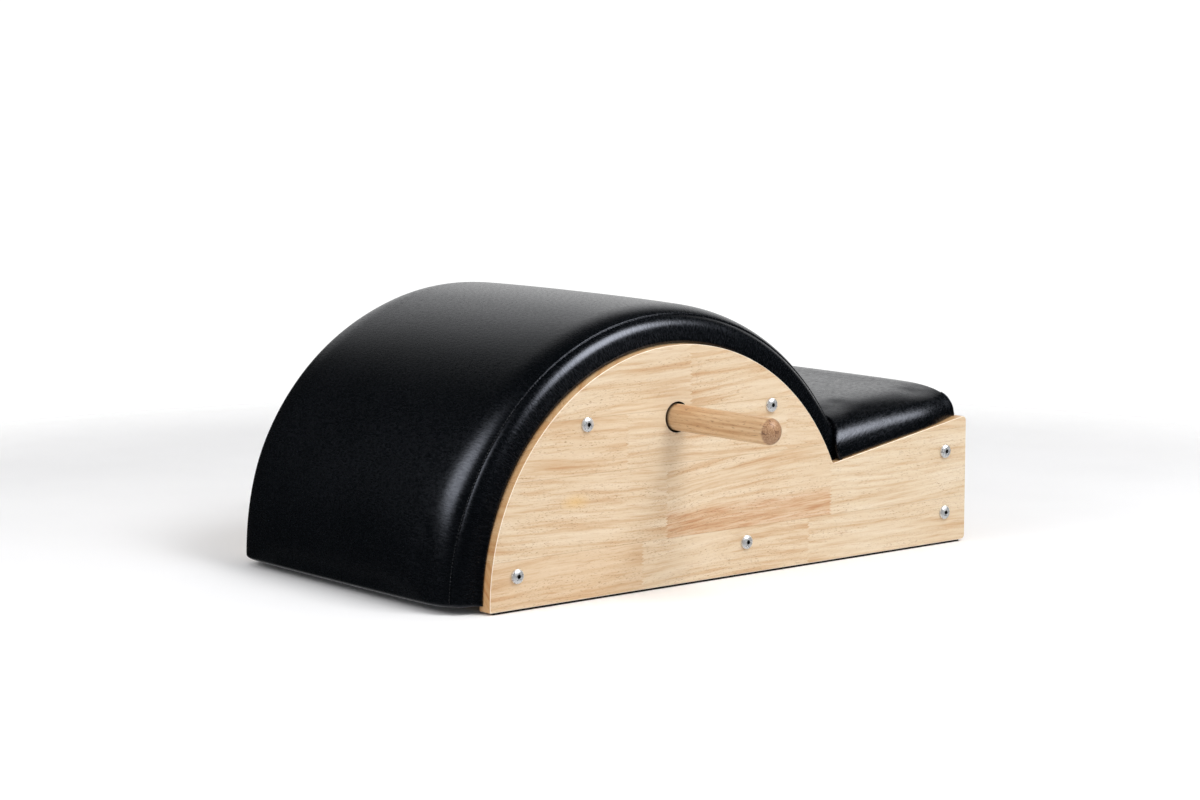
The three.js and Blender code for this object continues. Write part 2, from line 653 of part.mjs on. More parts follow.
function insertGeometry() {
  const bore = BOLT_SHANK_RADIUS + FIT;
  const profile = [
    new THREE.Vector2(bore, -INSERT_LENGTH),
    new THREE.Vector2(INSERT_RADIUS, -INSERT_LENGTH),
    new THREE.Vector2(INSERT_RADIUS, 0),
    new THREE.Vector2(bore, 0),
    new THREE.Vector2(bore, -INSERT_LENGTH),
  ];
  return new THREE.LatheGeometry(profile, SMALL_HOLE_STEPS);
}

function fastener(kind, spot, side, geometry, material, reach) {
  const { x, z } = BOLT_SPOTS[spot];
  const mesh = makeMesh(`${kind}_${spot}_${side}`, geometry, material, x, SIDES[side] * reach, z);
  mesh.rotation.z = side === 'near' ? Math.PI : 0;
  return mesh;
}

function fasteners() {
  const bolt = boltGeometry();
  const insert = insertGeometry();
  const group = new THREE.Group();
  for (const side of Object.keys(SIDES)) {
    for (const spot of Object.keys(BOLT_SPOTS)) {
      group.add(fastener('bolt', spot, side, bolt, CHROME, BODY_WIDTH / 2 + FIT));
      group.add(fastener('insert', spot, side, insert, ZINC, RAIL_LENGTH / 2));
    }
  }
  return group;
}

// One side of the body: panel, foot strip, rib, handle and its socket
function sideGroup(side) {
  const group = new THREE.Group();
  const pieces = [sidePanel, footStrip, rib, handle, handleSocket];
  return group.add(...pieces.map((piece) => piece(side)));
}

function crossPieces() {
  const group = new THREE.Group();
  return group.add(...Object.keys(RAIL_TURNS).map(crossRail), endBoard());
}

function upholstery() {
  const group = new THREE.Group();
  return group.add(archDeck(), archFoam(), archCover(), seatDeck(), seatFoam(), seatCover());
}

const spineCorrector = new THREE.Group();
spineCorrector.add(sideGroup('near'), sideGroup('far'), crossPieces(), upholstery(), fasteners());
const lowestX = ARCH_X - CREST_RADIUS;
spineCorrector.position.set(-(lowestX + PANEL_LENGTH) / 2, 0, STRIP_THICKNESS);

export default spineCorrector;
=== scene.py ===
import math

import bmesh
import bpy
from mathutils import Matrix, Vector


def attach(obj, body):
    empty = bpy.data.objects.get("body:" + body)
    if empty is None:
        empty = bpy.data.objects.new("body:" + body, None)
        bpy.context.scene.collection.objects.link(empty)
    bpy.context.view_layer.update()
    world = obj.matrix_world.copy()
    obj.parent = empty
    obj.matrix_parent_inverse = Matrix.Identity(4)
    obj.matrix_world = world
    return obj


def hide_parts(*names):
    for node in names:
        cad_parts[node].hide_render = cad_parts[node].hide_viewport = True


# Pilates spine corrector: barrel pad and seat pad in black vinyl between two rubberwood panels,
# with a push-in dowel handle on each side. Sizes are in millimetres and turned to metres last.

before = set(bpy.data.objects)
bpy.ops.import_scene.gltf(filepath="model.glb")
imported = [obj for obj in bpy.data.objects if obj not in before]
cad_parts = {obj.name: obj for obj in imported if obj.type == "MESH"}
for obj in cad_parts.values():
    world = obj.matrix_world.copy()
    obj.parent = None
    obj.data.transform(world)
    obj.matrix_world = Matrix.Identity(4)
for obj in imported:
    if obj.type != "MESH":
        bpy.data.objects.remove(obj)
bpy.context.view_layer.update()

MM = 0.001

# Camera
CAMERA_PLACE = (-2.47574, -2.99625, 0.70291)
CAMERA_TURN = (math.radians(90 - 7.37), 0.0, math.radians(-39.53))
CAMERA_LENS = 90.0
CAMERA_FILM = 36.0

# Body and panels
ARCH_X = -85.65
ARCH_Z = 10.0
ARCH_RADIUS = 290.0
PANEL_FOOT = 3.0
PANEL_BACK = 424.35
SEAT_END_Z = 170.0
SEAT_SLOPE = math.radians(9.65)
HALF_WIDTH = 249.0
PANEL_THICKNESS = 21.0
PANEL_CORNER = 6.0
PANEL_ARRIS = 1.5
NOTCH_FILLET = 3.5
CORNER_STEPS = 8
FILLET_STEPS = 6
ARCH_STEPS = 150
SIDES = {"near": -1, "far": 1}

# Bolts and handles
BOLTS = {
    "front_low": (-335.65, 43.0),
    "arch_front": (-228.75, 214.4),
    "arch_rear": (70.2, 213.1),
    "middle_low": (29.35, 43.0),
    "end_low": (384.35, 43.0),
    "end_high": (384.35, 125.0),
}
BOLT_HOLE = 4.6
BOLT_HOLE_STEPS = 24
HANDLE_Z = 211.0
HANDLE_HOLE = 19.0
HANDLE_HOLE_STEPS = 72
HANDLE_RADIUS = 16.5
HANDLE_REACH = 178.0
HANDLE_HEEL = 120.7
HEEL_CHAMFER = 1.5
TIP_DOME = 13.0

# Pads: heights are above the underside of the pad's deck
PAD_HALF = 227.7
COVER_THICKNESS = 1.6
COVER_RETURN = 20.0
ARCH_DECK_INNER = 280.7
CREST_RADIUS = 338.7
PAD_GAP = 1.5
PAD_TUCK = math.radians(4.07)
# From JOINT_SIDE to JOINT_OUT across, the seat's front closes up to the barrel's rolled side
JOINT_SIDE = 178.0
JOINT_OUT = 246.0
JOINT_CLOSE = 38.0
JOINT_POWER = 4
SEAT_PAD_END = 420.35
SEAT_DECK_BELOW = 18.0

SLOPE_RISE = math.tan(SEAT_SLOPE)
SEAT_ALONG = Vector((math.cos(SEAT_SLOPE), math.sin(SEAT_SLOPE)))
SEAT_UP = Vector((-SEAT_ALONG.y, SEAT_ALONG.x))
ARCH_CENTRE = Vector((ARCH_X, ARCH_Z))


# Places

def seat_line(x, offset):
    """Height at x of the panels' sloping edge, or of a line that lies offset above it."""
    return SEAT_END_Z - (PANEL_BACK - x) * SLOPE_RISE + offset / math.cos(SEAT_SLOPE)


def reach_circle(start, direction, radius):
    """How far it is from start, in that direction, to a circle about the barrel's axis."""
    away = start - ARCH_CENTRE
    half = away.dot(direction)
    return -half + math.sqrt(half * half - (away.length_squared - radius * radius))


def arc(centre, radius, start, end, steps):
    """Points along an arc, from one turn to another."""
    turns = [start + (end - start) * i / steps for i in range(steps + 1)]
    return [centre + radius * Vector((math.cos(t), math.sin(t))) for t in turns]


def notch_place():
    """Where the sloping edge meets the panels' half circle."""
    start = Vector((0.0, seat_line(0.0, 0.0)))
    return start + SEAT_ALONG * reach_circle(start, SEAT_ALONG, ARCH_RADIUS)


NOTCH = notch_place()
NOTCH_ANGLE = math.atan2(NOTCH.y - ARCH_Z, NOTCH.x - ARCH_X)
ARCH_PAD_START = NOTCH_ANGLE - PAD_TUCK
ARCH_PAD_LENGTH = (math.pi - ARCH_PAD_START) * ARCH_DECK_INNER
SEAT_BASE = Vector((0.0, seat_line(0.0, -SEAT_DECK_BELOW)))
SEAT_PAD_BACK = SEAT_PAD_END / SEAT_ALONG.x


def on_barrel(along, across, height):
    """A place on the barrel pad, measured round from its front foot and out from under its deck."""
    angle = math.pi - along / ARCH_DECK_INNER
    radius = ARCH_DECK_INNER + height
    return Vector((ARCH_X + radius * math.cos(angle), across, ARCH_Z + radius * math.sin(angle)))


def seat_front(height, across=0.0):
    """Where the seat pad begins: against the barrel pad, and close up to its rolled sides."""
    beside = max(0.0, (abs(across) - JOINT_SIDE) / (JOINT_OUT - JOINT_SIDE))
    radius = CREST_RADIUS - JOINT_CLOSE * min(1.0, beside) ** JOINT_POWER
    return reach_circle(SEAT_BASE + SEAT_UP * height, SEAT_ALONG, radius + PAD_GAP)


SEAT_PAD_LENGTH = SEAT_PAD_BACK - seat_front(0.0)


def on_seat(along, across, height):
    """A place on the seat pad, measured up the slope from its front and up from under its deck."""
    front = seat_front(height, across)
    reach = front + (SEAT_PAD_BACK - front) * along / SEAT_PAD_LENGTH
    spot = SEAT_BASE + SEAT_UP * height + SEAT_ALONG * reach
    return Vector((spot.x, across, spot.y))


# Camera

def set_camera():
    lens = bpy.data.cameras.new("camera")
    lens.lens = CAMERA_LENS
    lens.sensor_width = CAMERA_FILM
    camera = bpy.data.objects.new("camera", lens)
    camera.location = CAMERA_PLACE
    camera.rotation_euler = CAMERA_TURN
    bpy.context.scene.collection.objects.link(camera)
    bpy.context.scene.camera = camera


set_camera()


# Materials

def tint(code):
    """An sRGB hex colour as the linear one that the nodes work with."""
    channels = [int(code[i:i + 2], 16) / 255 for i in (1, 3, 5)]
    linear = [c / 12.92 if c <= 0.04045 else ((c + 0.055) / 1.055) ** 2.4 for c in channels]
    return (*linear, 1.0)


def every(*sizes):
    """Scales of a pattern, in turns a metre, for features of these sizes in millimetres. A size
    of 0 keeps the pattern from changing along that axis."""
    scales = [1000.0 / size if size else 0.0 for size in sizes]
    return scales if len(scales) > 1 else scales[0]


def connect(tree, node, links):
    """Gives a node's sockets their values, or links to them from another node or its output."""
    for key, value in links.items():
        socket = node.inputs[key] if isinstance(key, int) else next(
            s for s in node.inputs if s.name == key and s.enabled)
        if isinstance(value, bpy.types.Node):
            value = next(s for s in value.outputs if s.enabled)
        if isinstance(value, bpy.types.NodeSocket):
            tree.links.new(value, socket)
        else:
            socket.default_value = value


def add(tree, kind, links=None, stops=(), **settings):
    """Adds one node with its settings, its links and the stops of its colour ramp."""
    made = tree.nodes.new("ShaderNode" + kind)
    for name, value in settings.items():
        setattr(made, name, value)
    connect(tree, made, links or {})
    for number, (place, colour) in enumerate(stops):
        ramp = made.color_ramp.elements
        stop = ramp[number] if number < len(ramp) else ramp.new(1.0)
        stop.position = place
        stop.color = colour
    return made


def start_finish(name, **constants):
    """A new material, its node tree, and its shader with the values that are the same all over."""
    material = bpy.data.materials.new(name)
    material.use_nodes = True
    shader = material.node_tree.nodes["Principled BSDF"]
    connect(material.node_tree, shader, {
        key.replace("_", " "): value for key, value in constants.items()})
    return material, material.node_tree, shader


# Staves of a panel: height where each one begins, then its blocks from front to back, each with
# the place where it begins, its own grain number and how far its colour goes from pale to warm.
# Heights and places are in millimetres, and what the nodes read below them is in metres.
STAVES = [
    (3.0, [(-400.0, 0.13, 0.62), (-140.6, 0.71, 0.30), (135.7, 0.37, 0.22)]),
    (62.0, [(-400.0, 0.52, 0.36), (-103.5, 0.91, 0.34), (175.8, 0.24, 0.18)]),
    (154.0, [(-400.0, 0.66, 0.44), (-163.7, 0.07, 0.30), (98.0, 0.83, 0.36)]),
    (221.8, [(-400.0, 0.31, 0.34), (-62.0, 0.58, 0.34), (190.0, 0.44, 0.30)]),
]
PANEL_SPAN = 0.9
PANEL_SPAN_START = -0.42
FINGER_PITCH = 0.0042
FINGER_DEPTH = 0.0046
GLUE_LINE = 0.00035
GRAIN_STRETCH = 1 / 20
# A pinker stretch along the foot of one block: its grain number, and where it fades out
PINK_BLOCK = 0.91
PINK_FADE = (0.099, 0.089)
# A knot's pale yellow stain, with its reach and its shape
STAIN_PLACE = (-0.247, -0.249, 0.1226)
STAIN_REACH = 0.018
STAIN_SHAPE = (0.7, 1.0, 1.6)
# How far a face of the eased arris looks out of the panel, where the painted highlight lies: the
# middle and what goes either way
ARRIS_FACING = (0.68, 0.27)
# Painted shade inside the handle's hole reaches just past its wall
BORE_SHADE_REACH = 0.0192
# Distances from the middle of the body: where the dowel's tip turns to end grain, and where the
# dowel rests in the mouth of its hole, with how far the painted shade spreads there
TIP_GRAIN = 0.4165
TIP_GRAIN_FADE = 0.002
HOLE_SHADE_PLACE = 0.2462
HOLE_SHADE_SPREAD = 0.0075
VINYL_GLOSS = 0.5
PLY = 0.0015


def block_numbers(tree, x, z):
    """Each block's grain number and warmth, with a finger joint where blocks meet."""
    teeth = add(tree, "Math", {0: z, 1: FINGER_PITCH / 2}, operation="PINGPONG")
    shift = add(tree, "Math", {0: teeth, 1: 2 * FINGER_DEPTH / FINGER_PITCH}, operation="MULTIPLY")
    place = add(tree, "MapRange", {
        "Value": add(tree, "Math", {0: x, 1: shift}, operation="ADD"),
        "From Min": PANEL_SPAN_START, "From Max": PANEL_SPAN_START + PANEL_SPAN})
    chosen = None
    for start, blocks in STAVES:
        stops = []
        for at, number, warmth in blocks:
            spot = (at * MM - PANEL_SPAN_START) / PANEL_SPAN
            stops.append((max(spot, 0.0), (number, warmth, 0.0, 1.0)))
        stave = add(tree, "ValToRGB", {"Fac": place}, stops)
        stave.color_ramp.interpolation = "CONSTANT"
        if chosen is None:
            chosen = stave
        else:
            above = add(tree, "Math", {0: z, 1: start * MM}, operation="GREATER_THAN")
            chosen = add(tree, "Mix", {"Factor": above, "A": chosen, "B": stave.outputs["Color"]},
                         data_type="RGBA")
    number, warmth, _ = add(tree, "SeparateColor", {"Color": chosen}).outputs
    return number, warmth


def stave_seams(tree, z):
    """Dark hairline where two staves are glued: 1 on the line and 0 elsewhere."""
    line = None
    for start, _ in STAVES[1:]:
        near = add(tree, "Math", {0: z, 1: start * MM, 2: GLUE_LINE}, operation="COMPARE")
        line = near if line is None else add(tree, "Math", {0: line, 1: near}, operation="MAXIMUM")
    return line


def lacquered_rubberwood():
    """Rubberwood board glued up from staves, sanded, clear satin lacquer.
    Pale straw with warmer growth bands, short brown pores and finger joints, and a soft gloss."""
    material, tree, shader = start_finish("rubberwood", IOR=1.5)
    coords = add(tree, "TexCoord")
    place = coords.outputs["Object"]
    x, y, z = add(tree, "SeparateXYZ", {"Vector": place}).outputs
    number, warmth = block_numbers(tree, x, z)
    seed = add(tree, "Math", {0: number, 1: 40.0}, operation="MULTIPLY")
    # Each block leans its growth rings its own way through the board, and runs up or downhill
    lean = add(tree, "MapRange", {"Value": number, "To Min": -1.3, "To Max": 1.3})
    rise = add(tree, "Math", {0: y, 1: lean, 2: z}, operation="MULTIPLY_ADD")
    uphill = add(tree, "MapRange", {"Value": add(tree, "Math", {0: seed}, operation="SINE"),
                                    "From Min": -1.0, "To Min": -0.05, "To Max": 0.05})
    sloped = add(tree, "Math", {0: x, 1: uphill, 2: rise}, operation="MULTIPLY_ADD")
    # The lines of growth sway by some millimetres over a hand's width, and tremble finely
    sway = add(tree, "TexNoise", {
        "Vector": add(tree, "CombineXYZ", {
            "X": add(tree, "Math", {0: x, 1: every(333.333)}, operation="MULTIPLY"),
            "Z": add(tree, "Math", {0: rise, 1: every(125.0)}, operation="MULTIPLY")}),
        "Scale": 1.0, "Detail": 1.0, "W": seed}, noise_dimensions="4D")
    tremble = add(tree, "TexNoise", {
        "Vector": add(tree, "CombineXYZ", {
            "X": add(tree, "Math", {0: x, 1: every(25.0)}, operation="MULTIPLY"),
            "Z": add(tree, "Math", {0: rise, 1: every(11.1111)}, operation="MULTIPLY")}),
        "Scale": 1.0, "Detail": 2.0, "W": seed}, noise_dimensions="4D")
    drift = add(tree, "MapRange", {"Value": sway, "To Min": -0.017, "To Max": 0.017})
    shiver = add(tree, "MapRange", {"Value": tremble, "To Min": -0.0013, "To Max": 0.0013})
    grain = add(tree, "Math", {
        0: add(tree, "Math", {0: sloped, 1: drift}, operation="ADD"), 1: shiver}, operation="ADD")
    ring_place = add(tree, "CombineXYZ", {
        "X": add(tree, "Math", {0: x, 1: GRAIN_STRETCH}, operation="MULTIPLY"), "Z": grain})
    # Growth bands 8 mm apart, with fine dark lines 2 mm apart between them. The noise scales its
    # seed too, so a rounder size would move them
    bands = add(tree, "TexNoise", {
        "Vector": ring_place, "Scale": every(8.333333), "Detail": 4.0, "Roughness": 0.6, "W": seed},
        noise_dimensions="4D")
    lines = add(tree, "TexNoise", {
        "Vector": ring_place, "Scale": every(2.1276596), "Detail": 2.0, "Roughness": 0.6, "W": seed},
        noise_dimensions="4D")
    patches = add(tree, "TexNoise", {
        "Vector": add(tree, "CombineXYZ", {
            "X": add(tree, "Math", {0: x, 1: every(142.857)}, operation="MULTIPLY"),
            "Z": add(tree, "Math", {0: grain, 1: every(22.2222)}, operation="MULTIPLY")}),
        "Scale": 1.0, "Detail": 1.0, "W": seed}, noise_dimensions="4D")
    # Pores are about 0.2 by 1.5 mm in the wood and are drawn three times as coarse, to show
    pores = add(tree, "TexNoise", {
        "Vector": add(tree, "CombineXYZ", {
            "X": add(tree, "Math", {0: x, 1: every(3.84615)}, operation="MULTIPLY"),
            "Y": add(tree, "Math", {0: y, 1: every(3.33333)}, operation="MULTIPLY"),
            "Z": add(tree, "Math", {0: grain, 1: every(0.666667)}, operation="MULTIPLY")}),
        "Scale": 1.0, "Detail": 1.0, "W": seed}, noise_dimensions="4D")
    straw = add(tree, "ValToRGB", {"Fac": bands}, [
        (0.36, tint("#e2d4bd")), (0.5, tint("#dccaae")),
        (0.6, tint("#d2b897")), (0.7, tint("#c6a079"))])
    lined = add(tree, "Mix", {
        "Factor": add(tree, "MapRange", {
            "Value": lines, "From Min": 0.54, "From Max": 0.72, "To Max": 0.5}),
        "A": straw, "B": tint("#bf9569")}, data_type="RGBA")
    warm = add(tree, "Mix", {"Factor": warmth, "A": lined, "B": tint("#f3e0cd")},
               data_type="RGBA", blend_type="MULTIPLY")
    past = add(tree, "Math", {0: number, 1: PINK_BLOCK, 2: 0.04}, operation="COMPARE")
    low = add(tree, "MapRange", {"Value": z, "From Min": PINK_FADE[0], "From Max": PINK_FADE[1]})
    striped = add(tree, "MapRange", {"Value": lines, "From Min": 0.4, "From Max": 0.6, "To Min": 0.35})
    blush = add(tree, "Math", {
        0: add(tree, "Math", {0: past, 1: low}, operation="MULTIPLY"), 1: striped},
        operation="MULTIPLY")
    pink = add(tree, "Mix", {"Factor": blush, "A": warm, "B": tint("#eed5c4")},
               data_type="RGBA", blend_type="MULTIPLY")
    pore_share = add(tree, "MapRange", {
        "Value": pores, "From Min": 0.6, "From Max": 0.7, "To Max": 0.7})
    crowded = add(tree, "MapRange", {
        "Value": patches, "From Min": 0.4, "From Max": 0.6, "To Min": 0.25})
    pore_mark = add(tree, "Math", {0: pore_share, 1: crowded}, operation="MULTIPLY")
    pored = add(tree, "Mix", {"Factor": pore_mark, "A": pink, "B": tint("#94683f")}, data_type="RGBA")
    seamed = add(tree, "Mix", {
        "Factor": add(tree, "Math", {0: stave_seams(tree, z), 1: 0.3}, operation="MULTIPLY"),
        "A": pored, "B": tint("#94704c")}, data_type="RGBA")
    away = add(tree, "VectorMath", {
        0: add(tree, "VectorMath", {0: place, 1: STAIN_PLACE}, operation="SUBTRACT"),
        1: STAIN_SHAPE}, operation="MULTIPLY")
    spread = add(tree, "VectorMath", {0: away}, operation="LENGTH").outputs["Value"]
    stained = add(tree, "Mix", {
        "Factor": add(tree, "MapRange", {"Value": spread, "From Max": STAIN_REACH,
                                         "To Min": 0.4, "To Max": 0.0}),
        "A": seamed, "B": tint("#e8bb62")}, data_type="RGBA")
    # The sawn edges drink more lacquer than the faces and look warmer
    _, facing, _ = add(tree, "SeparateXYZ", {"Vector": coords.outputs["Normal"]}).outputs
    outward = add(tree, "Math", {0: facing}, operation="ABSOLUTE")
    sawn = add(tree, "MapRange", {"Value": outward, "From Min": 0.75, "From Max": 0.3})
    edged = add(tree, "Mix", {"Factor": sawn, "A": stained, "B": tint("#f3dcc0")},
                data_type="RGBA", blend_type="MULTIPLY")
    # Along the eased arris a pale line is painted on, a painted highlight on the rounded edge
    arris = add(tree, "Math", {0: outward, 1: ARRIS_FACING[0], 2: ARRIS_FACING[1]},
                operation="COMPARE")
    painted_light = add(tree, "Mix", {
        "Factor": add(tree, "Math", {0: arris, 1: 0.85}, operation="MULTIPLY"),
        "A": edged, "B": tint("#fdf4e6")}, data_type="RGBA")
    # Inside the handle's hole the bare wall is painted near black, as painted shade deep in the hole
    from_hole = add(tree, "VectorMath", {
        0: add(tree, "CombineXYZ", {"X": x, "Z": z}), 1: (ARCH_X * MM, 0.0, HANDLE_Z * MM)},
        operation="DISTANCE")
    bore = add(tree, "Math", {0: from_hole.outputs["Value"], 1: BORE_SHADE_REACH}, operation="LESS_THAN")
    bore_shaded = add(tree, "Mix", {"Factor": bore, "A": painted_light, "B": tint("#120d0a")}, data_type="RGBA")
    dips = add(tree, "Math", {0: lines, 1: pore_mark}, operation="SUBTRACT")
    connect(tree, shader, {
        "Base Color": bore_shaded,
        "Roughness": add(tree, "MapRange", {"Value": lines, "From Min": 0.3, "From Max": 0.7,
                                            "To Min": 0.32, "To Max": 0.45}),
        "Normal": add(tree, "Bump", {"Height": dips, "Distance": 0.00012, "Strength": 0.4})})
    return material


def turned_dowel():
    """Turned rubberwood dowel, sanded, satin lacquer. Warmer than the panels, with streaks
    along its length, and end grain with fine checks on the rounded tip."""
    material, tree, shader = start_finish("dowel_wood", IOR=1.5)
    place = add(tree, "TexCoord").outputs["Object"]
    x, y, z = add(tree, "SeparateXYZ", {"Vector": place}).outputs
    along = add(tree, "VectorMath", {0: place, 1: (1.0, GRAIN_STRETCH, 1.0)}, operation="MULTIPLY")
    rings = add(tree, "TexNoise", {
        "Vector": along, "Scale": every(5.26316), "Detail": 2.0, "W": 0.4}, noise_dimensions="4D")
    fine = add(tree, "TexNoise", {
        "Vector": along, "Scale": every(1.25), "Detail": 3.0, "Roughness": 0.7, "W": 0.7},
        noise_dimensions="4D")
    # Pores are drawn as coarse as on the panels, and longer, since they run along the dowel
    pores = add(tree, "TexNoise", {
        "Vector": add(tree, "VectorMath", {0: place, 1: every(1.0, 9.0909, 1.0)},
                      operation="MULTIPLY"),
        "Scale": 1.0, "Detail": 1.0})
    wood = add(tree, "ValToRGB", {"Fac": rings}, [
        (0.32, tint("#d2b48f")), (0.5, tint("#c9a780")), (0.68, tint("#b58b62"))])
    streak = add(tree, "Mix", {
        "Factor": add(tree, "MapRange", {
            "Value": fine, "From Min": 0.5, "From Max": 0.75, "To Max": 0.5}),
        "A": wood, "B": tint("#a87b52")}, data_type="RGBA")
    pored = add(tree, "Mix", {
        "Factor": add(tree, "MapRange", {
            "Value": pores, "From Min": 0.64, "From Max": 0.7, "To Max": 0.65}),
        "A": streak, "B": tint("#7d5634")}, data_type="RGBA")
    # End grain shows where the tip turns over: darker, dotted with pores and checked
    out = add(tree, "Math", {0: y}, operation="ABSOLUTE")
    ragged = add(tree, "MapRange", {"Value": fine, "To Min": -0.0015, "To Max": 0.0015})
    ragged_out = add(tree, "Math", {0: out, 1: ragged}, operation="ADD")
    tip = add(tree, "MapRange", {
        "Value": ragged_out, "From Min": TIP_GRAIN, "From Max": TIP_GRAIN + TIP_GRAIN_FADE})
    dots = add(tree, "TexNoise", {"Vector": place, "Scale": every(1.11111), "Detail": 2.0})
    end = add(tree, "ValToRGB", {"Fac": dots}, [
        (0.34, tint("#85603f")), (0.52, tint("#a58060")), (0.7, tint("#b89474"))])
    warped = add(tree, "TexNoise", {
        "Vector": add(tree, "VectorMath", {0: place, 1: every(14.286, 0, 26.316)},
                      operation="MULTIPLY"),
        "Scale": 1.0, "Detail": 3.0})
    check = add(tree, "Math", {0: warped, 1: 0.5, 2: 0.009}, operation="COMPARE")
    cracked = add(tree, "Mix", {
        "Factor": add(tree, "Math", {0: check, 1: 0.8}, operation="MULTIPLY"),
        "A": end, "B": tint("#694330")}, data_type="RGBA")
    tipped = add(tree, "Mix", {"Factor": tip, "A": pored, "B": cracked}, data_type="RGBA")
    # A soft dark ring is painted where the dowel rests in the mouth of its hole, as painted shade
    # where it goes into the hole
    away = add(tree, "Math", {
        0: add(tree, "Math", {0: ragged_out, 1: HOLE_SHADE_PLACE}, operation="SUBTRACT")},
        operation="ABSOLUTE")
    painted_light = add(tree, "MapRange", {
        "Value": away, "From Min": HOLE_SHADE_SPREAD, "From Max": 0.001, "To Max": 0.8},
        interpolation_type="SMOOTHSTEP")
    connect(tree, shader, {
        "Base Color": add(tree, "Mix", {"Factor": painted_light, "A": tipped, "B": tint("#2b1c12")},
                          data_type="RGBA"),
        "Roughness": add(tree, "MapRange", {"Value": fine, "From Min": 0.3, "From Max": 0.7,
                                            "To Min": 0.36, "To Max": 0.52}),
        "Normal": add(tree, "Bump", {"Height": fine, "Distance": 0.00015, "Strength": 0.4})})
    return material


def black_vinyl():
    """Black upholstery vinyl, embossed and stretched over foam. Nearly black with a cool cast and
    a satin gloss that breaks up into fine creases where light catches a rounded edge."""
    material, tree, shader = start_finish(
        "vinyl", Specular_IOR_Level=VINYL_GLOSS, Specular_Tint=tint("#e8eeff"))
    place = add(tree, "TexCoord").outputs["Object"]
    x, y, z = add(tree, "SeparateXYZ", {"Vector": place}).outputs
    # Distance round the barrel in metres, so that the creases follow the roll
    angle = add(tree, "Math", {
        0: add(tree, "Math", {0: z, 1: ARCH_Z * MM}, operation="SUBTRACT"),
        1: add(tree, "Math", {0: x, 1: ARCH_X * MM}, operation="SUBTRACT")}, operation="ARCTAN2")
    turn = add(tree, "Math", {0: angle, 1: CREST_RADIUS * MM}, operation="MULTIPLY")
    radius = add(tree, "VectorMath", {
        0: add(tree, "CombineXYZ", {"X": x, "Z": z}), 1: (ARCH_X * MM, 0.0, ARCH_Z * MM)},
        operation="DISTANCE")
    rolled = add(tree, "CombineXYZ", {"X": turn, "Y": y, "Z": radius.outputs["Value"]})
    mottle = add(tree, "TexNoise", {"Vector": place, "Scale": every(111.111), "Detail": 3.0})
    # Creases are about 1.5 mm apart and are drawn 2.4 mm apart and 6 mm long, and the embossed
    # pebble of 0.6 mm is drawn twice as coarse, to show in the render
    creases = add(tree, "TexNoise", {
        "Vector": add(tree, "VectorMath", {0: rolled, 1: every(2.38095, 6.25, 6.25)},
                      operation="MULTIPLY"),
        "Scale": 1.0, "Detail": 2.0, "Roughness": 0.6})
    pebble = add(tree, "TexVoronoi", {"Vector": place, "Scale": every(1.25), "Smoothness": 0.6},
                 feature="SMOOTH_F1")
    # Broad soft waves where the cover is drawn tight
    drawn = add(tree, "TexNoise", {
        "Vector": add(tree, "VectorMath", {0: rolled, 1: every(38.4615, 111.111, 111.111)},
                      operation="MULTIPLY"),
        "Scale": 1.0, "Detail": 3.0})
    soft = add(tree, "Bump", {"Height": drawn, "Distance": 0.0012, "Strength": 0.12})
    creased = add(tree, "Bump", {
        "Height": creases, "Distance": 0.001, "Strength": 0.15, "Normal": soft})
    pebbled = add(tree, "Bump", {
        "Height": pebble, "Distance": 0.0003, "Strength": 0.08, "Normal": creased})
    connect(tree, shader, {
        "Base Color": add(tree, "ValToRGB", {"Fac": mottle}, [
            (0.3, tint("#030507")), (0.7, tint("#06080b"))]),
        "Roughness": add(tree, "MapRange", {"Value": creases, "From Min": 0.3, "From Max": 0.7,
                                            "To Min": 0.2, "To Max": 0.33}),
        "Normal": pebbled})
    return material


def black_thread():
    """Bonded polyester thread, twisted. A shade lighter than the vinyl, with a low sheen."""
    material, tree, shader = start_finish("thread", Roughness=0.45)
    place = add(tree, "TexCoord").outputs["Object"]
    # The twist turns every 0.7 mm, and a diagonal wave of scale 1 turns every pi / 5
    twist = add(tree, "TexWave", {
        "Vector": place, "Scale": every(0.69813) * math.pi / 5, "Distortion": 1.0},
        bands_direction="DIAGONAL")
    connect(tree, shader, {
        "Base Color": add(tree, "ValToRGB", {"Fac": twist}, [
            (0.2, tint("#0d0f12")), (0.9, tint("#1d1f24"))]),
        "Normal": add(tree, "Bump", {"Height": twist, "Distance": 0.0002, "Strength": 0.5})})
    return material


def upholstery_foam():
    """Firm cut foam. Pale cream with open cells, which are drawn three times as coarse to show."""
    material, tree, shader = start_finish("foam", Roughness=0.95)
    place = add(tree, "TexCoord").outputs["Object"]
    cells = add(tree, "TexVoronoi", {"Vector": place, "Scale": every(1.42857)})
    stain = add(tree, "TexNoise", {"Vector": place, "Scale": every(71.4286), "Detail": 3.0})
    cream = add(tree, "ValToRGB", {"Fac": stain}, [(0.3, tint("#e9e2c6")), (0.7, tint("#dcd2ae"))])
    hollow = add(tree, "MapRange", {"Value": cells, "From Max": 0.5, "To Min": 0.35, "To Max": 0.0})
    connect(tree, shader, {
        "Base Color": add(tree, "Mix", {"Factor": hollow, "A": cream, "B": tint("#a89c78")},
                          data_type="RGBA"),
        "Normal": add(tree, "Bump", {"Height": cells, "Distance": 0.0004, "Strength": 0.6})})
    return material


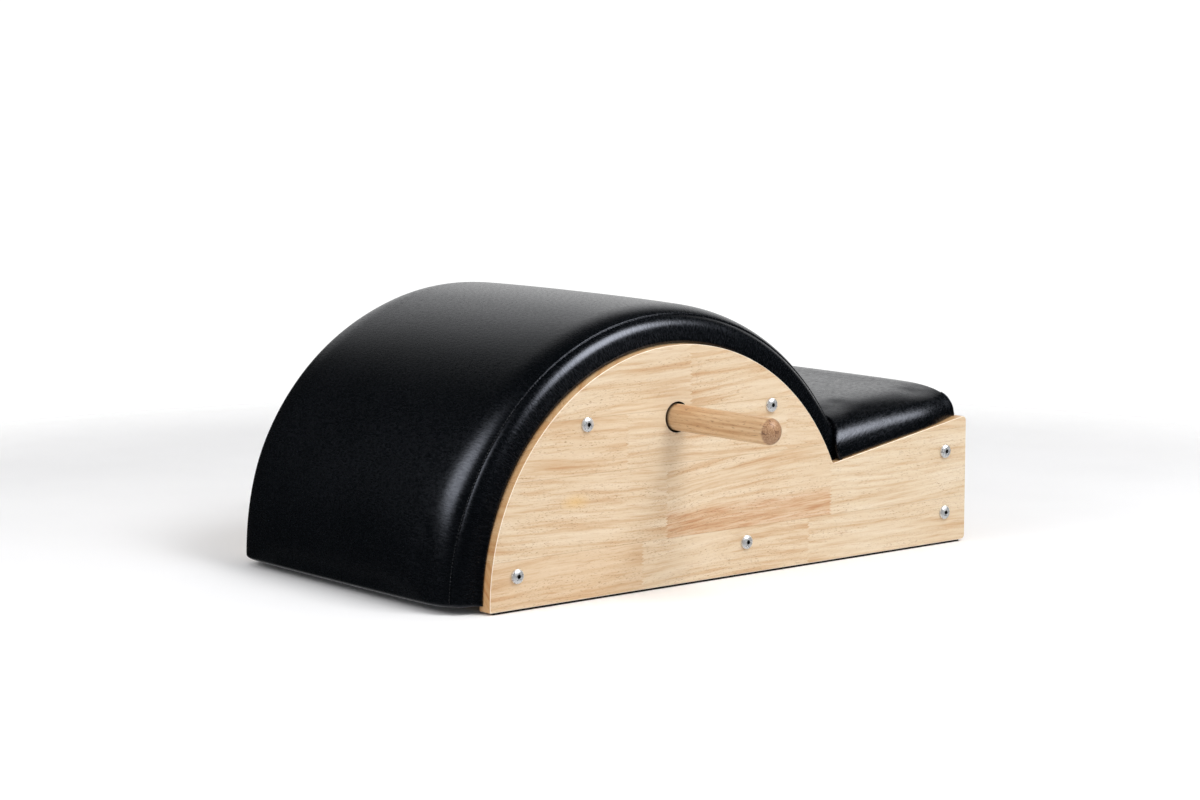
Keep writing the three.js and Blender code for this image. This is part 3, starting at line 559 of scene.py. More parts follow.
def bare_pine():
    """Planed pine, bare. Straight resinous growth lines and a dry, dull surface."""
    material, tree, shader = start_finish("pine")
    place = add(tree, "TexCoord").outputs["Object"]
    # Cross pieces run from panel to panel, so their grain runs along Y
    along = add(tree, "VectorMath", {0: place, 1: (1.0, 0.06, 1.0)}, operation="MULTIPLY")
    rings = add(tree, "TexNoise", {"Vector": along, "Scale": every(4.16667), "Detail": 2.0})
    fine = add(tree, "TexNoise", {"Vector": along, "Scale": every(0.769231), "Detail": 2.0})
    wood = add(tree, "ValToRGB", {"Fac": rings}, [
        (0.36, tint("#dcc08f")), (0.55, tint("#d8ba88")), (0.66, tint("#b98d55"))])
    worn = add(tree, "MapRange", {"Value": fine, "From Min": 0.45, "From Max": 0.75, "To Max": 0.4})
    connect(tree, shader, {
        "Base Color": add(tree, "Mix", {"Factor": worn, "A": wood, "B": tint("#b98d55")},
                          data_type="RGBA"),
        "Roughness": add(tree, "MapRange", {"Value": fine, "From Min": 0.3, "From Max": 0.7,
                                            "To Min": 0.66, "To Max": 0.8}),
        "Normal": add(tree, "Bump", {"Height": fine, "Distance": 0.0002, "Strength": 0.6})})
    return material


def birch_plywood(name, depth_of):
    """Birch plywood, sanded and bare. Its faces show quiet birch figure and its edges show plies
    1.5 mm thick, pale and brown in turn."""
    material, tree, shader = start_finish(name)
    place = add(tree, "TexCoord").outputs["Object"]
    pair = add(tree, "Math", {0: depth_of(tree, place), 1: PLY}, operation="PINGPONG")
    dark_ply = add(tree, "Math", {0: pair, 1: PLY / 2}, operation="GREATER_THAN")
    figure = add(tree, "TexNoise", {
        "Vector": add(tree, "VectorMath", {0: place, 1: every(33.3333, 71.4286, 16.6667)},
                      operation="MULTIPLY"),
        "Scale": 1.0, "Detail": 3.0})
    fine = add(tree, "TexNoise", {
        "Vector": add(tree, "VectorMath", {0: place, 1: every(2.0, 8.33333, 1.42857)},
                      operation="MULTIPLY"),
        "Scale": 1.0, "Detail": 2.0})
    birch = add(tree, "ValToRGB", {"Fac": figure}, [(0.35, tint("#dcc195")), (0.65, tint("#cfae7c"))])
    edge = add(tree, "Mix", {
        "Factor": add(tree, "Math", {0: dark_ply, 1: 0.55}, operation="MULTIPLY"),
        "A": birch, "B": tint("#9c7446")}, data_type="RGBA")
    speck = add(tree, "MapRange", {"Value": fine, "From Min": 0.6, "From Max": 0.75, "To Max": 0.4})
    connect(tree, shader, {
        "Base Color": add(tree, "Mix", {"Factor": speck, "A": edge, "B": tint("#a57c4c")},
                          data_type="RGBA"),
        "Roughness": add(tree, "MapRange", {"Value": fine, "From Min": 0.3, "From Max": 0.7,
                                            "To Min": 0.62, "To Max": 0.76}),
        "Normal": add(tree, "Bump", {"Height": fine, "Distance": 0.0002, "Strength": 0.5})})
    return material


def upright_plies(tree, place):
    """Depth through a rib, which stands across the body."""
    across = (0.0, 1.0, 0.0)
    return add(tree, "VectorMath", {0: place, 1: across}, operation="DOT_PRODUCT").outputs["Value"]


def bent_plies(tree, place):
    """Depth through the barrel's deck, outward from its axis."""
    flat = add(tree, "VectorMath", {0: place, 1: (1.0, 0.0, 1.0)}, operation="MULTIPLY")
    centre = (ARCH_X * MM, 0.0, ARCH_Z * MM)
    return add(tree, "VectorMath", {0: flat, 1: centre}, operation="DISTANCE").outputs["Value"]


def sloping_plies(tree, place):
    """Depth through the seat's deck, square to its slope."""
    level = (SEAT_UP.x, 0.0, SEAT_UP.y)
    return add(tree, "VectorMath", {0: place, 1: level}, operation="DOT_PRODUCT").outputs["Value"]


def polished_chrome():
    """Chrome plate over a machined head, polished. Bright, a little hazy, with faint turning marks.
    A metallic under 1 stands in for the white room that the chrome would mirror all round."""
    material, tree, shader = start_finish("bolt_chrome", Metallic=0.7)
    place = add(tree, "TexCoord").outputs["Object"]
    haze = add(tree, "TexNoise", {"Vector": place, "Scale": every(2.38095), "Detail": 3.0})
    marks = add(tree, "TexNoise", {"Vector": place, "Scale": every(0.384615), "Detail": 2.0})
    connect(tree, shader, {
        "Base Color": add(tree, "ValToRGB", {"Fac": haze}, [
            (0.3, tint("#e6e8eb")), (0.7, tint("#f6f7f8"))]),
        "Roughness": add(tree, "MapRange", {"Value": haze, "From Min": 0.3, "From Max": 0.7,
                                            "To Min": 0.24, "To Max": 0.36}),
        "Normal": add(tree, "Bump", {"Height": marks, "Distance": 0.00005, "Strength": 0.15})})
    return material


def socket_shade():
    """Steel at the bottom of a hex socket, dull and painted near black as the shade deep in the
    socket.
    """
    material, tree, shader = start_finish("socket_shade", Specular_IOR_Level=0.3)
    place = add(tree, "TexCoord").outputs["Object"]
    socket_mottle = add(tree, "TexNoise", {"Vector": place, "Scale": every(0.666667), "Detail": 2.0})
    connect(tree, shader, {
        "Base Color": add(tree, "ValToRGB", {"Fac": socket_mottle}, [
            (0.3, tint("#0b0b0c")), (0.7, tint("#1b1a19"))]),
        "Roughness": add(tree, "MapRange", {"Value": socket_mottle, "To Min": 0.5, "To Max": 0.8}),
        "Normal": add(tree, "Bump", {"Height": socket_mottle, "Distance": 0.0001, "Strength": 0.3})})
    return material


def yellow_zinc():
    """Zinc plate with yellow passivate. Brass-like, cloudy and half dull."""
    material, tree, shader = start_finish("insert_metal", Metallic=1.0)
    place = add(tree, "TexCoord").outputs["Object"]
    haze = add(tree, "TexNoise", {"Vector": place, "Scale": every(3.84615), "Detail": 3.0})
    connect(tree, shader, {
        "Base Color": add(tree, "ValToRGB", {"Fac": haze}, [
            (0.3, tint("#b7a46a")), (0.55, tint("#c2b07c")), (0.75, tint("#a99a86"))]),
        "Roughness": add(tree, "MapRange", {"Value": haze, "From Min": 0.3, "From Max": 0.7,
                                            "To Min": 0.3, "To Max": 0.48}),
        "Normal": add(tree, "Bump", {"Height": haze, "Distance": 0.0001, "Strength": 0.3})})
    return material


def foot_rubber():
    """Self-adhesive foam rubber strip, moulded. Matt near-black, dusty, with a fine pebble that is
    drawn twice as coarse to show."""
    material, tree, shader = start_finish("foot_rubber")
    place = add(tree, "TexCoord").outputs["Object"]
    dust = add(tree, "TexNoise", {"Vector": place, "Scale": every(16.6667), "Detail": 3.0})
    pebble = add(tree, "TexVoronoi", {"Vector": place, "Scale": every(1.11111)})
    connect(tree, shader, {
        "Base Color": add(tree, "ValToRGB", {"Fac": dust}, [
            (0.35, tint("#15120f")), (0.75, tint("#2a2623"))]),
        "Roughness": add(tree, "MapRange", {"Value": dust, "From Min": 0.3, "From Max": 0.7,
                                            "To Min": 0.78, "To Max": 0.92}),
        "Normal": add(tree, "Bump", {"Height": pebble, "Distance": 0.0003, "Strength": 0.6})})
    return material


RUBBERWOOD = lacquered_rubberwood()
DOWEL = turned_dowel()
VINYL = black_vinyl()
THREAD = black_thread()
FOAM = upholstery_foam()
CHROME = polished_chrome()
ZINC = yellow_zinc()
SOCKET_SHADE = socket_shade()
RUBBER = foot_rubber()
RIB_PLY = birch_plywood("plywood_upright", upright_plies)
ARCH_PLY = birch_plywood("plywood_bent", bent_plies)
SEAT_PLY = birch_plywood("plywood_sloping", sloping_plies)
PINE = bare_pine()


# Meshes

def make_piece(name, points, faces, material, smooth_under=None):
    """A piece from points in millimetres, smooth but for edges sharper than an angle if given."""
    mesh = bpy.data.meshes.new(name)
    mesh.from_pydata([tuple(Vector(p) * MM) for p in points], [], faces)
    mesh.materials.append(material)
    mesh.validate()
    piece = bpy.data.objects.new(name, mesh)
    bpy.context.scene.collection.objects.link(piece)
    mesh.shade_smooth()
    if smooth_under:
        mesh.set_sharp_from_angle(angle=math.radians(smooth_under))
    return piece


def between(first, second, steps):
    """Four-sided faces between two closed rings of points, given where each ring begins."""
    return [(first + k, first + (k + 1) % steps, second + (k + 1) % steps, second + k)
            for k in range(steps)]


def tube_faces(base, rings, steps):
    """Faces of a tube whose rings of points follow one another from base on, closed at its ends."""
    faces = []
    for ring in range(rings - 1):
        faces += between(base + ring * steps, base + (ring + 1) * steps, steps)
    last = base + (rings - 1) * steps
    return faces + [[base + k for k in range(steps)][::-1], [last + k for k in range(steps)]]


def settle(piece):
    """Applies every modifier on the piece."""
    seen = bpy.context.evaluated_depsgraph_get()
    done = bpy.data.meshes.new_from_object(piece.evaluated_get(seen))
    old = piece.data
    piece.modifiers.clear()
    piece.data = done
    done.name = old.name
    bpy.data.meshes.remove(old)


def hand_over(piece, body, slot, *nodes):
    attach(piece, body)
    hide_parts(*nodes)


# Side panels

def panel_outline():
    right = PANEL_BACK - PANEL_CORNER
    foot = PANEL_FOOT + PANEL_CORNER
    top = seat_line(right, -PANEL_CORNER)
    lean = math.pi / 2 + SEAT_SLOPE
    # The fillet in the notch touches the slope and the half circle
    centre_line = Vector((0.0, seat_line(0.0, NOTCH_FILLET)))
    away = reach_circle(centre_line, SEAT_ALONG, ARCH_RADIUS + NOTCH_FILLET)
    fillet = centre_line + SEAT_ALONG * away
    towards = fillet - ARCH_CENTRE
    touch = math.atan2(towards.y, towards.x)
    return [
        *arc(Vector((right, foot)), PANEL_CORNER, -math.pi / 2, 0.0, CORNER_STEPS),
        *arc(Vector((right, top)), PANEL_CORNER, 0.0, lean, CORNER_STEPS),
        *arc(fillet, NOTCH_FILLET, SEAT_SLOPE - math.pi / 2, touch - math.pi, FILLET_STEPS),
        *arc(ARCH_CENTRE, ARCH_RADIUS, touch, math.pi, ARCH_STEPS)[1:],
        Vector((ARCH_X - ARCH_RADIUS, PANEL_FOOT)),
    ]


def ring_edges(bm, outline, level):
    points = [bm.verts.new((p.x, level, p.y)) for p in outline]
    return [bm.edges.new((a, b)) for a, b in zip(points, points[1:] + points[:1])]


def hole_outline(x, z, radius, steps):
    return arc(Vector((x, z)), radius, 0, -2 * math.pi, steps)[:-1]


def fine_panel(side):
    out = SIDES[side]
    inner = out * (HALF_WIDTH - PANEL_THICKNESS)
    bm = bmesh.new()
    edges = ring_edges(bm, panel_outline(), inner)
    for x, z in BOLTS.values():
        edges += ring_edges(bm, hole_outline(x, z, BOLT_HOLE, BOLT_HOLE_STEPS), inner)
    edges += ring_edges(bm, hole_outline(ARCH_X, HANDLE_Z, HANDLE_HOLE, HANDLE_HOLE_STEPS), inner)
    bmesh.ops.triangle_fill(bm, edges=edges, use_beauty=True)
    flat = list(bm.faces)
    raised = bmesh.ops.extrude_face_region(bm, geom=flat)["geom"]
    lifted = [v for v in raised if isinstance(v, bmesh.types.BMVert)]
    bmesh.ops.translate(bm, verts=lifted, vec=(0, out * PANEL_THICKNESS, 0))
    bmesh.ops.recalc_face_normals(bm, faces=bm.faces)
    bmesh.ops.dissolve_limit(bm, angle_limit=math.radians(0.5), verts=bm.verts, edges=bm.edges,
                             delimit={"NORMAL"})
    points = [v.co.copy() for v in bm.verts]
    bm.verts.index_update()
    faces = [[v.index for v in f.verts] for f in bm.faces]
    bm.free()
    piece = make_piece(f"panel_{side}", points, faces, RUBBERWOOD)
    eased = piece.modifiers.new("eased", "BEVEL")
    eased.width = PANEL_ARRIS * MM
    eased.segments = 4
    eased.limit_method = "ANGLE"
    eased.angle_limit = math.radians(50)
    even = piece.modifiers.new("even", "WEIGHTED_NORMAL")
    even.keep_sharp = True
    settle(piece)
    hand_over(piece, "body", "rubberwood", f"side_panel_{side}")


# Turned pieces: dowels and bolts

DOWEL_STEPS = 64
DOWEL_RINGS = 24
TIP_RINGS = 14
HEAD_STEPS = 48
HEAD_RADIUS = 9.0
HEAD_HEIGHT = 4.6
HEAD_RIM = 1.3
HEAD_SEAT = 0.3
HEAD_RINGS = 9
# How far in and up the head's lower edge is eased, and how far below the dome its side ends
HEAD_EASE = (0.5, 0.35)
RIM_STEP = 0.3
SHANK_RADIUS = 4.0
SHANK_LENGTH = 62.0
SHANK_CHAMFER = 0.8
# The hex socket: how far its corners and its drilled point reach, and the flat rim round its mouth
HEX_CORNER = 2.9
HEX_DEPTH = 4.2
HEX_POINT = 0.5
HEX_RIM = 1.0
# How much wider than the hexagon, and how far below the head's top, its mouth is at each ring
HEX_MOUTH = ((0.25, 0.25), (0.0, 0.6), (0.0, HEX_DEPTH))


def turned(name, rings, ends, place, level, side, material, smooth_under):
    """A closed piece on an axis that stands out of a panel. Each ring's points tell how far they
    are across, up and out from level, and ends how far out the two points that close it are."""
    out = SIDES[side]
    x, z = place
    steps, last = len(rings[0]), (len(rings) - 1) * len(rings[0])
    local = [spot for ring in rings for spot in ring] + [(0.0, 0.0, height) for height in ends]
    tail, head = len(local) - 2, len(local) - 1
    faces = []
    for ring in range(len(rings) - 1):
        faces += between(ring * steps, (ring + 1) * steps, steps)
    for k in range(steps):
        after = (k + 1) % steps
        faces += [(tail, after, k), (last + k, last + after, head)]
    if out > 0:
        faces = [face[::-1] for face in faces]
    points = [(x + across, out * (level + height), z + up) for across, up, height in local]
    return make_piece(name, points, faces, material, smooth_under)


def ring_at(height, steps, reach):
    """A ring at one height, whose distance from the axis is a number or depends on the turn."""
    turns = [2 * math.pi * k / steps for k in range(steps)]
    far = [reach(turn) if callable(reach) else reach for turn in turns]
    return [(r * math.cos(turn), r * math.sin(turn), height) for r, turn in zip(far, turns)]


def fine_handle(side):
    shoulder = HANDLE_REACH - TIP_DOME
    profile = [(HANDLE_RADIUS - HEEL_CHAMFER, -HANDLE_HEEL),
               (HANDLE_RADIUS, HEEL_CHAMFER - HANDLE_HEEL)]
    profile += [(HANDLE_RADIUS, (HANDLE_HEEL + shoulder) * i / DOWEL_RINGS - HANDLE_HEEL)
                for i in range(1, DOWEL_RINGS + 1)]
    for i in range(1, TIP_RINGS):
        turn = math.pi / 2 * i / TIP_RINGS
        profile.append((HANDLE_RADIUS * math.cos(turn), shoulder + TIP_DOME * math.sin(turn)))
    rings = [ring_at(height, DOWEL_STEPS, radius) for radius, height in profile]
    piece = turned(f"dowel_{side}", rings, (-HANDLE_HEEL, HANDLE_REACH), (ARCH_X, HANDLE_Z),
                   HALF_WIDTH, side, DOWEL, 35.0)
    hand_over(piece, f"handle_{side}", "dowel_wood", f"handle_{side}")


def hex_reach(turn):
    """Distance from the middle to the side of the socket's hexagon in that direction."""
    return HEX_CORNER * math.cos(math.pi / 6) / math.cos(turn % (math.pi / 3) - math.pi / 6)


def fine_bolt(spot, side):
    profile = [(SHANK_RADIUS - SHANK_CHAMFER, -SHANK_LENGTH),
               (SHANK_RADIUS, SHANK_CHAMFER - SHANK_LENGTH), (SHANK_RADIUS, 0.0),
               (HEAD_RADIUS - HEAD_EASE[0], 0.0), (HEAD_RADIUS, HEAD_EASE[1]),
               (HEAD_RADIUS, HEAD_RIM - RIM_STEP)]
    top = math.acos((HEX_CORNER + HEX_RIM) / HEAD_RADIUS)
    for i in range(1, HEAD_RINGS + 1):
        turn = top * i / HEAD_RINGS
        rise = (HEAD_HEIGHT - HEAD_RIM) * math.sin(turn) / math.sin(top)
        profile.append((HEAD_RADIUS * math.cos(turn), HEAD_RIM + rise))
    rings = [ring_at(height, HEAD_STEPS, radius) for radius, height in profile]
    rings += [ring_at(HEAD_HEIGHT - deep, HEAD_STEPS, lambda turn: hex_reach(turn) + wider)
              for wider, deep in HEX_MOUTH]
    pit = (len(rings) - 2) * HEAD_STEPS
    tail = len(rings) * HEAD_STEPS
    ends = (-SHANK_LENGTH, HEAD_HEIGHT - HEX_DEPTH - HEX_POINT)
    piece = turned(f"screw_{spot}_{side}", rings, ends, BOLTS[spot],
                   HALF_WIDTH + HEAD_SEAT, side, CHROME, 38.0)
    # The faces of the socket's pit take the painted shade
    piece.data.materials.append(SOCKET_SHADE)
    for face in piece.data.polygons:
        if all(v >= pit for v in face.vertices) and tail not in face.vertices:
            face.material_index = 1
    hand_over(piece, "body", "bolt_chrome", f"bolt_{spot}_{side}")


# Pads

# A pad's section, in millimetres across and above its deck's underside. The side leaves the wood
# at side_top, leans in, and rolls about a centre at level, out as far as out, until head, where the
# seam lies groove deep. A shoulder goes over to the crown, whose crest falls by crown_drop.
# Below fixed_under nothing swells. tight pulls the sides in, swells raise the crown and flare
# raises the band, each about a place along the pad: the place, how much and how far it reaches.
BARREL_PAD = {
    "side_top": 9.6, "roll": 19.5, "level": 25.7, "out": 236.2, "lean": math.radians(10.0),
    "head": math.radians(67.8), "groove": 1.3, "tight": (0.0, 6.5, 110.0),
    "shoulder": 45.0, "crest": 57.5, "crown_drop": 2.5, "crown_power": 2.6, "deck_top": 9.6,
    "fixed_under": 46.4, "end_rolls": (3.5, 3.0),
    # Fuller low on the front, tighter further up
    "swells": ((108.0, 4.5, 59.0), (304.0, -3.5, 59.0)),
    # Where it is pressed against the seat pad, the band squares up to the height of the crown
    "flare": (ARCH_PAD_LENGTH, 12.0, 34.0),
    "length": ARCH_PAD_LENGTH, "place": on_barrel,
}
SEAT_PAD = {
    "side_top": 18.3, "roll": 36.0, "level": 28.0, "out": 246.0, "lean": 0.0,
    "head": math.radians(55.0), "groove": 0.0, "tight": (SEAT_PAD_LENGTH, 11.0, 30.0),
    "shoulder": 78.6, "crest": 73.0, "crown_drop": 2.0, "crown_power": 2.6, "deck_top": 12.3,
    "fixed_under": 18.0, "end_rolls": (2.5, 5.0),
    "swells": ((SEAT_PAD_LENGTH, -14.0, 100.0),), "flare": None,
    "length": SEAT_PAD_LENGTH, "place": on_seat,
}
# How much of the groove's depth, and how far above the seam, each row of the seam lies
SEAM_SECTION = ((0.4, 0.2), (1.0, 0.7), (0.7, 1.2), (0.3, 1.9))
SHOULDER_CUT = 0.9
SHOULDER_POWER = 2.6
DRAW_POWER = 0.7
FOAM_DEPTH = 4.2
FOAM_STEP = 20.0
RING_STEP = 10.0
VINYL_WALL = 1.4
# Rows of the even mesh up the side: below the wood's edge, straight up from it, in the whole band
# with those, in the seam, and in the shoulder. Then columns over the top, and rings in each end.
SIDE_LEVELS = 3
FOOT_STEPS = 4
BAND_STEPS = 12
SEAM_ROWS = len(SEAM_SECTION)
SHOULDER_STEPS = 10
TOP_STEPS = 30
ROLL_STEPS = 5
STITCH_ROW = SIDE_LEVELS + BAND_STEPS + SEAM_ROWS
SIDE_ROWS = STITCH_ROW + SHOULDER_STEPS
# The vinyl under pressure: each pad's pressure, and how far a point may move
PRESSURE = 4.0
SWELL_MOST = 3.0
CLOTH_FRAMES = 20


def crown_height(pad, across, inset):
    """Height of the crown, a little lower towards the sides."""
    return pad["crest"] - inset - pad["crown_drop"] * abs(across / PAD_HALF) ** pad["crown_power"]


def rolled_edge(pad, inset, steps):
    """The side's round section: up off the wood's edge, leaning in, then round to the top."""
    lean, foot = pad["lean"], pad["side_top"]
    centre, level, roll = pad["out"] - pad["roll"], pad["level"], pad["roll"] - inset
    begin_out, begin = centre + roll * math.cos(lean), level + roll * math.sin(lean)
    rows = []
    for i in range(FOOT_STEPS):
        down = (begin - foot) * (1 - i / FOOT_STEPS)
        rows.append((begin_out + down * math.tan(lean), begin - down))
    for i in range(steps - FOOT_STEPS):
        turn = lean + (pad["head"] - lean) * i / (steps - FOOT_STEPS - 1)
        rows.append((centre + roll * math.cos(turn), level + roll * math.sin(turn)))
    return rows


def shoulder(pad, inset, lip_out, lip):
    """From the lip of the side over to the flat of the crown, steep at first."""
    drop = crown_height(pad, lip_out, inset) - lip
    whole = 1 - math.sqrt(1 - SHOULDER_CUT ** SHOULDER_POWER)
    rows = []
    for i in range(1, SHOULDER_STEPS + 1):
        share = math.cos(math.pi / 2 * i / SHOULDER_STEPS)
        out = lip_out - pad["shoulder"] * (1 - share)
        fall = drop * (1 - math.sqrt(1 - (SHOULDER_CUT * share) ** SHOULDER_POWER)) / whole
        rows.append((out, crown_height(pad, out, inset) - fall, False))
    return rows


def sewn_side(pad, inset):
    """Band, seam and shoulder: each row has its distance out, its height and whether it is held."""
    rows = [(*row, True) for row in rolled_edge(pad, inset, BAND_STEPS)]
    seam, level, _ = rows[-1]
    for deep, rise in SEAM_SECTION:
        rows.append((seam - pad["groove"] * deep, level + rise, True))
    return rows + shoulder(pad, inset, *rows[-1][:2])


def plain_side(pad, inset):
    """A side without a seam, rounded all the way from the wood's edge to the crown."""
    rows = [(*row, False) for row in rolled_edge(pad, inset, BAND_STEPS + SEAM_ROWS)]
    return rows + shoulder(pad, inset, *rows[-1][:2])


def side_profile(pad, inset, base, draw):
    """The outside at one station, from the bottom corner up to where the crown begins, drawn in
    towards the pad's ends. Staples hold the rows below the wood's edge."""
    start = pad["side_top"]
    half = PAD_HALF - inset
    rows = [(half, base + (start - base) * i / SIDE_LEVELS, True) for i in range(SIDE_LEVELS + 1)]
    above = sewn_side(pad, inset) if pad["groove"] else plain_side(pad, inset)
    top = above[-1][1]
    for out, height, fixed in above:
        share = max(0.0, (height - start) / (top - start))
        rows.append((out - draw * share ** DRAW_POWER, height - draw * share, fixed))
    return rows


def hump(along, place, most, reach):
    """A soft rise about one place along a pad."""
    return most * math.exp(-((along - place) / reach) ** 2)


def swollen(pad, along, height):
    """The height with the pad's own fullness along its length, and its flare at the joint."""
    low, crest, level = pad["fixed_under"], pad["crest"], pad["level"]
    share = min(1.0, max(0.0, (height - low) / (crest - low)))
    swell = share * sum(hump(along, *one) for one in pad["swells"])
    if pad["flare"]:
        up = min(1.0, max(0.0, (height - level) / (low - level)))
        swell += hump(along, *pad["flare"]) * up * min(1.0, (crest - height) / (crest - low))
    return height + swell


def stations(pad, inset, step):
    """Places along the pad, close together in the rolled ends, and how far each is drawn in."""
    length = pad["length"] - 2 * inset
    first, last = pad["end_rolls"]
    turns = [math.pi / 2 * i / ROLL_STEPS for i in range(ROLL_STEPS + 1)]
    count = max(2, round((length - first - last) / step))
    spots = [(first * (1 - math.cos(turn)), first * (1 - math.sin(turn))) for turn in turns]
    spots += [(first + (length - first - last) * i / count, 0.0) for i in range(1, count)]
    spots += [(length - last * (1 - math.cos(turn)), last * (1 - math.sin(turn)))
              for turn in reversed(turns)]
    return [(along + inset, draw) for along, draw in spots]


def pad_ring(pad, inset, base, along, draw):
    """The points round the pad at one station, from the near bottom corner up and over, and which
    of them are held."""
    pull = hump(along, *pad["tight"])
    side = [(y if height < pad["side_top"] else y - pull, height, fixed)
            for y, height, fixed in side_profile(pad, inset, base, draw)]
    top_out = side[-1][0]
    shares = [1 - 2 * i / TOP_STEPS for i in range(1, TOP_STEPS)]
    across = [top_out * (share + math.sin(math.pi / 2 * share)) / 2 for share in shares]
    top = [(y, crown_height(pad, y, inset) - draw, False) for y in across]
    left = [(-y, height, fixed) for y, height, fixed in reversed(side)]
    half = side[0][0]
    under = [(-half * (1 - 2 * i / TOP_STEPS), base, True) for i in range(1, TOP_STEPS)]
    whole = side + top + left + under
    points = [pad["place"](along, y, swollen(pad, along, height)) for y, height, _ in whole]
    return points, [fixed for _, _, fixed in whole]


def end_grid(ring, first, start):
    """Fills the end of a pad with columns across and rows up, which meet the ring's own points."""
    size = len(ring)
    right = list(range(SIDE_ROWS + 1))
    top = list(range(SIDE_ROWS, SIDE_ROWS + TOP_STEPS + 1))
    left = list(range(SIDE_ROWS + TOP_STEPS, 2 * SIDE_ROWS + TOP_STEPS + 1))[::-1]
    under = [0, *range(size - 1, size - TOP_STEPS, -1), left[0]]
    grid, extra = [], []
    for i in range(TOP_STEPS + 1):
        column = []
        u = i / TOP_STEPS
        for j in range(SIDE_ROWS + 1):
            v = j / SIDE_ROWS
            edge = {0: under[i], SIDE_ROWS: top[i]}.get(j)
            if edge is None:
                edge = {0: right[j], TOP_STEPS: left[j]}.get(i)
            if edge is not None:
                column.append(first + edge)
                continue
            up = (1 - v) * ring[under[i]] + v * ring[top[i]]
            over = (1 - u) * ring[right[j]] + u * ring[left[j]]
            corners = (1 - u) * (1 - v) * ring[under[0]] + u * (1 - v) * ring[under[-1]]
            corners += (1 - u) * v * ring[top[0]] + u * v * ring[top[-1]]
            column.append(start + len(extra))
            extra.append(up + over - corners)
        grid.append(column)
    return grid, extra


def pad_form(pad, inset, base, step):
    """A closed pad of even four-sided faces: its points, faces, held points and rings."""
    points, held, rings = [], [], []
    for along, draw in stations(pad, inset, step):
        ring, fixed = pad_ring(pad, inset, base, along, draw)
        rings.append(ring)
        points += ring
        held += fixed
    size = len(rings[0])
    last = len(rings) - 1
    for j in range(size):
        held[j] = True
        held[last * size + j] = True
    faces = []
    for i in range(last):
        faces += between(i * size, (i + 1) * size, size)
    for end, ring in ((0, rings[0]), (last, rings[-1])):
        grid, extra = end_grid(ring, end * size, len(points))
        points += extra
        held += [True] * len(extra)
        for i in range(TOP_STEPS):
            for j in range(SIDE_ROWS):
                face = (grid[i][j], grid[i + 1][j], grid[i + 1][j + 1], grid[i][j + 1])
                faces.append(face if end == 0 else face[::-1])
    return points, faces, held, size, len(rings)


def inflate(piece, held):
    """Swells the vinyl off its foam between the seams and staples that hold it."""
    scene = bpy.context.scene
    group = piece.vertex_groups.new(name="held")
    group.add([i for i, fixed in enumerate(held) if fixed], 1.0, "REPLACE")
    cloth = piece.modifiers.new("cloth", "CLOTH")
    cloth.settings.quality = 6
    cloth.settings.mass = 0.3
    cloth.settings.use_pressure = True
    cloth.settings.uniform_pressure_force = PRESSURE
    cloth.settings.vertex_group_mass = group.name
    cloth.settings.effector_weights.gravity = 0.0
    cloth.point_cache.frame_start = 1
    cloth.point_cache.frame_end = CLOTH_FRAMES
    for frame_number in range(1, CLOTH_FRAMES + 1):
        scene.frame_set(frame_number)
    blown = piece.evaluated_get(bpy.context.evaluated_depsgraph_get())
    moves = [after.co - before.co
             for after, before in zip(blown.to_mesh().vertices, piece.data.vertices)]
    blown.to_mesh_clear()
    piece.modifiers.remove(cloth)
    piece.vertex_groups.remove(group)
    outward = [normal.vector.copy() for normal in piece.data.vertex_normals]
    for point, move, out in zip(piece.data.vertices, moves, outward):
        # The foam behind the vinyl keeps it from sinking
        lift = min(max(move.dot(out), 0.0), SWELL_MOST * MM)
        point.co += out * lift
    scene.frame_set(1)


def open_mouth(piece, size, rings):
    """Takes away the underside between the cover's turned-in edges, where the deck shows."""
    columns = round(COVER_RETURN / (2 * PAD_HALF / TOP_STEPS))
    first = size - TOP_STEPS + columns + 1
    bm = bmesh.new()
    bm.from_mesh(piece.data)
    bm.verts.ensure_lookup_table()
    inside = set()
    for i in range(ROLL_STEPS + 1, rings - ROLL_STEPS - 1):
        for j in range(first, size - columns + 1):
            inside.add(i * size + j)
    gone = [f for f in bm.faces if all(v.index in inside for v in f.verts)]
    bmesh.ops.delete(bm, geom=gone, context="FACES")
    bm.to_mesh(piece.data)
    bm.free()


def pad_cover(name, pad, node):
    """The vinyl of one pad, and the rows of points along the lip and the foot of its seam."""
    points, faces, held, size, rings = pad_form(pad, 0.0, -COVER_THICKNESS, RING_STEP)
    piece = make_piece(name, points, faces, VINYL)
    inflate(piece, held)
    seam = [[i * size + row for i in range(rings)] for row in (STITCH_ROW, STITCH_ROW - 1)]
    rows = [[piece.data.vertices[k].co.copy() for k in line] for line in seam]
    open_mouth(piece, size, rings)
    wall = piece.modifiers.new("wall", "SOLIDIFY")
    wall.thickness = VINYL_WALL * MM
    wall.offset = -1.0
    smooth = piece.modifiers.new("smooth", "SUBSURF")
    smooth.levels = 1
    smooth.render_levels = 1
    settle(piece)
    piece.data.shade_smooth()
    hand_over(piece, "body", "vinyl", node)
    return rows


def pad_foam(name, pad, node):
    points, faces, _, _, _ = pad_form(pad, FOAM_DEPTH, pad["deck_top"], FOAM_STEP)
    piece = make_piece(name, points, faces, FOAM, 50.0)
    hand_over(piece, "body", "foam", node)


# Stitches

STITCH_PITCH = 4.4
STITCH_LENGTH = 3.3
STITCH_RADIUS = 0.36
STITCH_SIDES = 6
# Place along a stitch, its thickness there, and how far it stands out, both against its radius
STITCH_SECTION = (
    (0.0, 0.35, -0.5), (0.18, 0.9, 0.2), (0.5, 1.0, 0.45), (0.82, 0.9, 0.2), (1.0, 0.35, -0.5))
# How far the stitches lie down from the lip of the seam
STITCH_DOWN = 0.25
WELT_SIDES = 8
